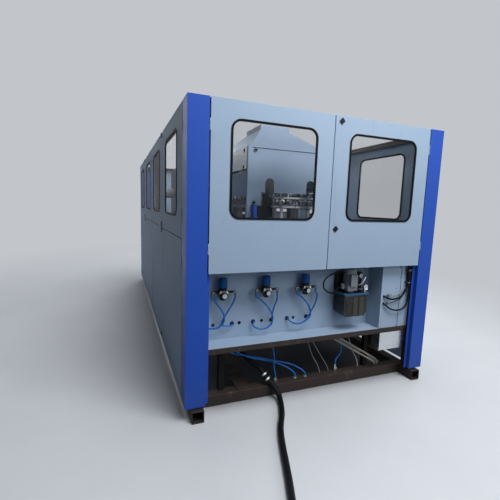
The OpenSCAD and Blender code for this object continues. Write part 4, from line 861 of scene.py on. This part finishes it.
# Corrugated conduit with its saddles and its end plate
con = Part("conduit", [black, fitting], "machine", "black_rubber")
prof = [(0.0, 0.0)]
rings = 36
step = (CONDUIT_Z[1] - CONDUIT_Z[0] - 0.4) / rings
for k in range(rings):
    prof += [(12.6, k * step), (12.6, k * step + 1.6), (15.0, k * step + 2.4), (15.0, k * step + 4.2)]
prof += [(12.6, rings * step), (0.0, rings * step)]
con.lathe((CONDUIT_X, CONDUIT_Y, CONDUIT_Z[0]), (0, 0, 1), prof, 0, 24)
for z in (805, 904.7):
    con.box((CONDUIT_X - 24, DUCT_Y - 3.3, z), (CONDUIT_X + 24, DUCT_Y - 0.3, z + 14), 1, 1.0)
    con.box((CONDUIT_X - 16.5, CONDUIT_Y - 16.5, z + 1), (CONDUIT_X + 16.5, DUCT_Y - 2, z + 13), 1, 5.0)
    for s in (-20, 20):
        con.cyl((CONDUIT_X + s, DUCT_Y - 3, z + 7), (0, -1, 0), 3, 2.4, 1, 0.4, 6)
con.box((CONDUIT_X - 24, DUCT_Y - 31, CONDUIT_Z[1]),
        (CONDUIT_X + 24, DUCT_Y - 0.3, CONDUIT_Z[1] + 4), 1, 1.0)
con.done(50)
plugs = Part("angle_plugs", [cast, black, zinc], "machine", "zinc")
for z in PLUG_Z:
    plugs.cyl((PLUG_X, DUCT_Y - 0.3, z), (0, -1, 0), 10, 24, 0, 2.0, 24)
    plugs.cyl((PLUG_X, DUCT_Y - 4.3, z), (0, -1, 0), 12, 5, 2, 0.8, 6)
    plugs.cyl((PLUG_X, DUCT_Y - 14, z), (1, 0, 0), 6.4, 18, 0, 0.6, 20)
    plugs.cyl((PLUG_X + 17, DUCT_Y - 14, z), (1, 0, 0), 5.4, 5.2, 1, 0.8, 20)
for z in GROMMET_Z:
    plugs.lathe((LEAD_X, DUCT_Y - 0.2, z), (0, -1, 0), [(6, 3), (8, 3.3), (9, 2), (9, 0)], 1, 24)
# Screws and rivets of the duct's panels
for x, z in ((714, 764), (617, 475), (600, 930), (718, 930), (718, 470)):
    plugs.cyl((x, DUCT_Y - 0.1, z), (0, -1, 0), 3.2, 1.2, 1 if z == 764 else 2, 0.4, 16)
for z in (470, 560, 650, 740, 830, 920):
    for x in (765, 845):
        plugs.cyl((x, DUCT_Y - 0.1, z), (0, -1, 0), 2.4, 1.0, 2, 0.4, 12)
plugs.done()

# Lubricator, in mm: the tank's width, depth, foot and top
TANK_W, TANK_D, TANK_Z = 216, 134, (565, 748)


def tank_outline():
    """The tank's front outline with its two cut lower corners."""
    w, low, top = TANK_W / 2, TANK_Z[0], TANK_Z[1] - 16
    return [(-w, top), (-w, low + 30), (-w + 24, low), (w - 24, low), (w, low + 30), (w, top)]


def lubricator():
    p = Part("lubricator_tank_body", [smoked, lid_teal, pillar, black, zinc], "machine", "smoked_plastic")
    x, y = TANK_X, TANK_Y
    bm = p.bm
    pts = tank_outline()
    ends = [[bm.verts.new(((x + a) / 1000, (y + s * TANK_D / 2) / 1000, b / 1000)) for a, b in pts]
            for s in (-1, 1)]
    faces = [bm.faces.new(ends[0]), bm.faces.new(ends[1][::-1])]
    for k in range(len(pts)):
        j = (k + 1) % len(pts)
        faces.append(bm.faces.new((ends[0][j], ends[0][k], ends[1][k], ends[1][j])))
    edges = list({e for f in faces for e in f.edges})
    bmesh.ops.bevel(bm, geom=edges, offset=0.006, segments=3, profile=0.6, affect="EDGES",
                    clamp_overlap=True)
    yf = y - TANK_D / 2
    # Pillars of pale plastic in the front wall, between dark grooves
    for off in (-0.03, 0.225):
        p.box((x + off * TANK_W - 20, yf - 4, TANK_Z[0] + 8),
              (x + off * TANK_W + 20, yf + 4, TANK_Z[1] - 30), 2, 3.0, seg=3)
    p.box((x - 0.315 * TANK_W - 20, yf - 4, TANK_Z[0] + 30),
          (x - 0.315 * TANK_W + 20, yf + 4, TANK_Z[1] - 60), 0, 4.0, seg=3)
    p.box((x - 60, yf - 3.8, TANK_Z[1] - 62), (x + 30, yf + 2, TANK_Z[1] - 50), 0, 3.0)
    for k in range(3):
        p.box((x - 92, yf - 0.8, 600 + 34 * k), (x - 80, yf + 1, 603 + 34 * k), 2)
    p.box((x - TANK_W / 2 - 3, yf - 5, TANK_Z[1] - 15.7),
          (x + TANK_W / 2 + 3, y + TANK_D / 2 + 2, TANK_Z[1]), 1, 3.0)
    # A black plate over the lid's top, inset from its edge: painted shade, so that only the teal rim shows
    p.box((x - TANK_W / 2 + 4, yf + 2, TANK_Z[1] - 1),
          (x + TANK_W / 2 - 4, y + TANK_D / 2 - 4, TANK_Z[1] + 0.8), 3, 0.4)
    p.box((x - TANK_W / 2 + 30, y + TANK_D / 2 - 1, TANK_Z[0] + 20),
          (x + TANK_W / 2 - 30, y + TANK_D / 2 + 17.7, TANK_Z[1] - 30), 3, 1.0)
    for dx in (-96, 96):
        for dy in (-56, 56):
            p.cyl((x + dx, y + dy, TANK_Z[1] - 0.5), (0, 0, 1), 5, 3.5, 4, 0.6, 6)
    return p.done()


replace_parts(lubricator(), "lubricator_tank")


def drive():
    p = Part("lubricator_drive_body", [cast, black, zinc, white, red], "machine", "grey_cast")
    x, y, z0 = DRIVE_X, TANK_Y, TANK_Z[1] + 0.3
    p.cyl((x, y, z0), (0, 0, 1), 33, 13, 0, 1.5, 40)
    # Gearbox below, cooling ribs in the middle and the fan hood on top
    p.box((x - 44, y - 44, z0 + 12), (x + 44, y + 40, z0 + 52), 0, 5.0, seg=3)
    p.cyl((x, y, z0 + 50), (0, 0, 1), 42, 92, 0, 1.0, 48)
    for k in range(32):
        a = 2 * math.pi * k / 32
        q = Matrix.Rotation(a, 4, "Z")
        mid = Vector((x + 44 * math.cos(a), y + 44 * math.sin(a), z0 + 96))
        p.box(mid - Vector((4.4, 1.0, 44)), mid + Vector((4.4, 1.0, 44)), 0, turn=q)
    p.cyl((x, y, z0 + 140), (0, 0, 1), 49.5, 42, 0, 4.0, 48)
    p.cyl((x, y, z0 + 181), (0, 0, 1), 34, 1.2, 1, 0.4, 40)
    p.box((x - 30, y - 60, z0 + 50), (x + 30, y - 42, z0 + 140), 0, 3.0)
    for s in (-1, 1):
        for dz in (56, 134):
            p.cyl((x + s * 24, y - 61.2, z0 + dz), (0, 1, 0), 2.4, 2, 2, 0, 6)
    p.cyl((x - 62, y, z0 + 26), (0, 0, 1), 14, 40, 0, 2.0, 24)
    p.cyl((x - 76.4, y, 790), (1, 0, 0), 7, 6, 1, 1.0, 20)
    p.box((x - 62, y - 8, z0 + 30), (x, y + 8, z0 + 46), 0, 1.0)
    p.cyl((x - 50, y, 900), (1, 0, 0), 8, 8, 1, 1.0, 20)
    # Control housing behind the motor, with its lid
    p.box((TANK_X - 102, y + 50.3, z0), (TANK_X + 140, PANEL_Y - 0.3, 885), 1, 4.0, seg=3)
    p.box((TANK_X - 94, y + 48.6, z0 + 8), (TANK_X + 132, y + 52, 877), 1, 2.0)
    for gx, gy, gz, r, rim, needle in ((TANK_X + 81, y - 8, 868, 22, 1, 30),
                                       (TANK_X + 91, y - 59, 788, 20, 2, -60)):
        p.cyl((gx, gy, gz), (0, 1, 0), r, 22, rim, 2.0, 40)
        p.lathe((gx, gy, gz), (0, -1, 0),
                [(r - 4.6, 0), (r - 4.6, 1), (r - 3, 2.6), (r - 0.6, 1.8), (r, 0)], rim, 40)
        dial(p, gx, gy, gz, r - 4.4, 3, 1, 4, needle)
    p.cyl((TANK_X + 81, y + 13, 868), (0, 1, 0), 6, 38, 2, 0, 20)
    p.cyl((TANK_X + 91, y - 48, z0), (0, 0, 1), 6, 788 - z0, 2, 0, 20)
    p.cyl((TANK_X + 91, y - 48, z0), (0, 0, 1), 10, 10, 2, 1.0, 6)
    return p.done()


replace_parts(drive(), "lubricator_drive")
tube("lubricator_line_1", mm((352, TANK_Y + 52, 806), (356, TANK_Y + 20, 800), (364, TANK_Y - 20, 800),
                             (380, TANK_Y - 40, 812), (402, TANK_Y - 46, 840), (420, TANK_Y - 40, 866),
                             (434, TANK_Y - 20, 872), (438, TANK_Y + 10, 858), (436, TANK_Y + 52, 850)),
     0.004, zinc, "machine", 8, 3)
tube("lubricator_line_2", mm((TANK_X + 91, TANK_Y - 48, 772), (TANK_X + 70, TANK_Y - 50, 768),
                             (TANK_X + 52, TANK_Y - 40, 764), (TANK_X + 46, TANK_Y - 30, 752),
                             (TANK_X + 46, TANK_Y - 30, 746)),
     0.003, hose_black, "machine", 8, 2)

# Oven, in mm: its front and left flank, and the front cover's edges
OVEN_Y, FLANK_X = -1752, -460
COVER_X, COVER_Z = (-429.7, 214.7), (1386, 1487, 1812)


def wing_latch(part, at, axis, turn):
    """A quarter-turn latch: round base with a crossed wing."""
    at = Vector(at)
    a = Vector(axis)
    part.cyl(at, a, 9, 8, 0, 1.5, 24)
    for k in (0, 90):
        q = Matrix.Rotation(math.radians(k + turn), 4, a)
        mid = at + a * 5
        half = Vector((15, 15, 15)) - Vector([abs(c) * 11.5 for c in a])
        half = Vector((half.x, half.y, 4.5)) if abs(a.z) < 0.5 else half
        part.box(mid - half, mid + half, 0, 1.5, turn=q)


strip = Part("duct_strip", [grey_paint], "machine", "grey_paint")
strip.box((DUCT_SEAM + 0.6, DUCT_Y + 4, 444), (DUCT_SEAM + 25.4, DUCT_Y + 13.8, 930), 0, 1.0)
strip.done()
lat = Part("oven_latches", [black], "machine", "black_plastic")
for x, z in ((-395.7, 1798), (-398.7, 1408)):
    wing_latch(lat, (x, OVEN_Y - 0.4, z), (0, -1, 0), 12)
wing_latch(lat, (FLANK_X - 0.4, -1694, 1796), (-1, 0, 0), 12)
wing_latch(lat, (FLANK_X - 0.4, -1686, 1674), (-1, 0, 0), 12)
lat.done()
# Black strips along the oven cover's left, top and right edges: painted shadow lines where the cover stands
# proud of its posts
cover_shadow_lines = Part("oven_cover_shadow_lines", [rubber], "machine", "black_rubber")
for lo, hi in (((COVER_X[0] - 0.1, COVER_Z[0]), (COVER_X[0] + 5, COVER_Z[2])),
               ((COVER_X[0] - 3, COVER_Z[2]), (COVER_X[1] + 3, COVER_Z[2] + 4.5)),
               ((COVER_X[1] - 1.5, COVER_Z[1]), (COVER_X[1] + 3, COVER_Z[2]))):
    cover_shadow_lines.box((lo[0], OVEN_Y - 0.8, lo[1]), (hi[0], OVEN_Y + 1.5, hi[1]))
cover_shadow_lines.done()
bracket = Part("ring_bracket", [black], "machine", "black_plastic")
bracket.box((-372, -1868, 1386), (-322, -1860, 1478), 0, 3.0)
bracket.box((-328, -1866, 1392), (-300, -1860, 1450), 0, 3.0)
bracket.done()

# Stage and light
BACK = (0.54, 0.56, 0.59)


def seen_ray(nt):
    """Is 1 for camera, glossy and transmission rays, which see the background's own colour."""
    path = nt.nodes.new("ShaderNodeLightPath")
    out = path.outputs["Is Camera Ray"]
    for other in ("Is Glossy Ray", "Is Transmission Ray"):
        most = nt.nodes.new("ShaderNodeMath")
        most.operation = "MAXIMUM"
        nt.links.new(out, most.inputs[0])
        nt.links.new(path.outputs[other], most.inputs[1])
        out = most.outputs["Value"]
    return out


def painted_shadow_under_machine(m):
    """A factor that is 1 on the floor under the enclosure and fades to 0 at its edges: the mask of a painted
    shadow.
    """
    parts = m.node("ShaderNodeSeparateXYZ")
    m.link(m.where(), parts.inputs["Vector"])
    out = None
    for axis, edge in (("X", W2), ("Y", L2)):
        size = m.node("ShaderNodeMath", operation="ABSOLUTE")
        m.link(parts.outputs[axis], size.inputs[0])
        fade = m.between(size.outputs["Value"], edge + 0.02, edge - 0.25, "SMOOTHSTEP")
        out = fade if out is None else m.times(out, fade)
    return out


def stage():
    """A pale floor with a painted shadow under the enclosure, which turns into the background's colour away
    from the machine.
    """
    bm = bmesh.new()
    s = 30.0  # half of its side
    bm.faces.new([bm.verts.new((x, y, -0.001)) for x, y in ((-s, -s), (s, -s), (s, s), (-s, s))])
    mesh = bpy.data.meshes.new("floor")
    bm.to_mesh(mesh)
    bm.free()
    o = bpy.data.objects.new("floor", mesh)
    scene.collection.objects.link(o)
    m = Mat("floor", (0.60, 0.62, 0.65), 0.8)
    m.tint(m.ramp(m.noise(1.3, 5.0, 0.6), [(0.4, 0.0), (0.8, 0.5)]), (0.52, 0.54, 0.57))
    m.bump(m.noise(40.0, 4.0, 0.6), 0.1, 0.002)
    # Painted shadow: the floor's colour goes near black under the enclosure
    m.tint(painted_shadow_under_machine(m), (0.03, 0.03, 0.035))
    t = m.t
    far = m.node("ShaderNodeVectorMath", operation="LENGTH")
    flat = m.node("ShaderNodeMapping")
    flat.inputs["Scale"].default_value = (0.75, 0.55, 1.0)
    m.link(m.where(), flat.inputs["Vector"])
    m.link(flat.outputs["Vector"], far.inputs[0])
    fade = m.between(far.outputs["Value"], 1.5, 4.5, "SMOOTHSTEP")
    dim = m.node("ShaderNodeBsdfDiffuse")
    dim.inputs["Color"].default_value = (0.22, 0.23, 0.25, 1.0)
    seen = m.node("ShaderNodeMixShader")
    m.link(seen_ray(t), seen.inputs["Fac"])
    m.link(dim.outputs["BSDF"], seen.inputs[1])
    m.link(m.b.outputs["BSDF"], seen.inputs[2])
    glow = m.node("ShaderNodeEmission")
    glow.inputs["Color"].default_value = (*BACK, 1.0)
    mix = m.node("ShaderNodeMixShader")
    m.link(m.times(fade, seen_ray(t)), mix.inputs["Fac"])
    m.link(seen.outputs["Shader"], mix.inputs[1])
    m.link(glow.outputs["Emission"], mix.inputs[2])
    m.link(mix.outputs["Shader"], t.nodes["Material Output"].inputs["Surface"])
    mesh.materials.append(m.m)


def studio():
    """A sky that is brighter towards the front right, behind the background's own colour."""
    world = bpy.data.worlds.new("studio")
    scene.world = world
    world.use_nodes = True
    t = world.node_tree
    soft = t.nodes["Background"]
    soft.inputs["Color"].default_value = (0.78, 0.88, 1.0, 1.0)
    way = t.nodes.new("ShaderNodeTexCoord")
    toward = t.nodes.new("ShaderNodeVectorMath")
    toward.operation = "DOT_PRODUCT"
    toward.inputs[1].default_value = (0.72, -0.45, 0.53)
    level = t.nodes.new("ShaderNodeMapRange")
    level.inputs["From Min"].default_value = 0.05
    level.inputs["To Min"].default_value = 0.01
    level.inputs["To Max"].default_value = 0.46
    t.links.new(way.outputs["Generated"], toward.inputs[0])
    t.links.new(toward.outputs["Value"], level.inputs["Value"])
    t.links.new(level.outputs["Result"], soft.inputs["Strength"])
    back = t.nodes.new("ShaderNodeBackground")
    back.inputs["Color"].default_value = (*BACK, 1.0)
    mix = t.nodes.new("ShaderNodeMixShader")
    t.links.new(seen_ray(t), mix.inputs["Fac"])
    t.links.new(soft.outputs["Background"], mix.inputs[1])
    t.links.new(back.outputs["Background"], mix.inputs[2])
    t.links.new(mix.outputs["Shader"], t.nodes["World Output"].inputs["Surface"])


def lamp(name, at, to, size, power):
    """An area lamp of a size in metres and a power in watts."""
    data = bpy.data.lights.new(name, "AREA")
    data.shape = "RECTANGLE"
    data.size, data.size_y = size
    data.energy = power
    o = bpy.data.objects.new(name, data)
    o.location = at
    o.rotation_euler = (Vector(to) - Vector(at)).to_track_quat("-Z", "Y").to_euler()
    scene.collection.objects.link(o)


stage()
studio()
lamp("key", (0.4, -4.0, 4.2), (0.0, -2.1, 1.7), (2.6, 1.4), 138.0)
lamp("fill", (2.4, -6.6, 2.9), (-0.1, -2.2, 1.1), (3.0, 2.0), 66.0)
lamp("top", (0.1, -0.4, 5.2), (0.1, -0.2, 1.0), (2.2, 4.5), 110.0)
lamp("rear", (0.4, 7.0, 3.8), (0.0, 2.1, 1.1), (4.0, 2.0), 150.0)
lamp("right", (6.2, 0.8, 3.6), (1.0, 0.2, 1.1), (4.5, 2.0), 130.0)
lamp("left", (-5.5, 4.2, 3.6), (-1.0, 1.6, 1.2), (3.0, 2.0), 45.0)

scene.view_settings.view_transform = "Standard"
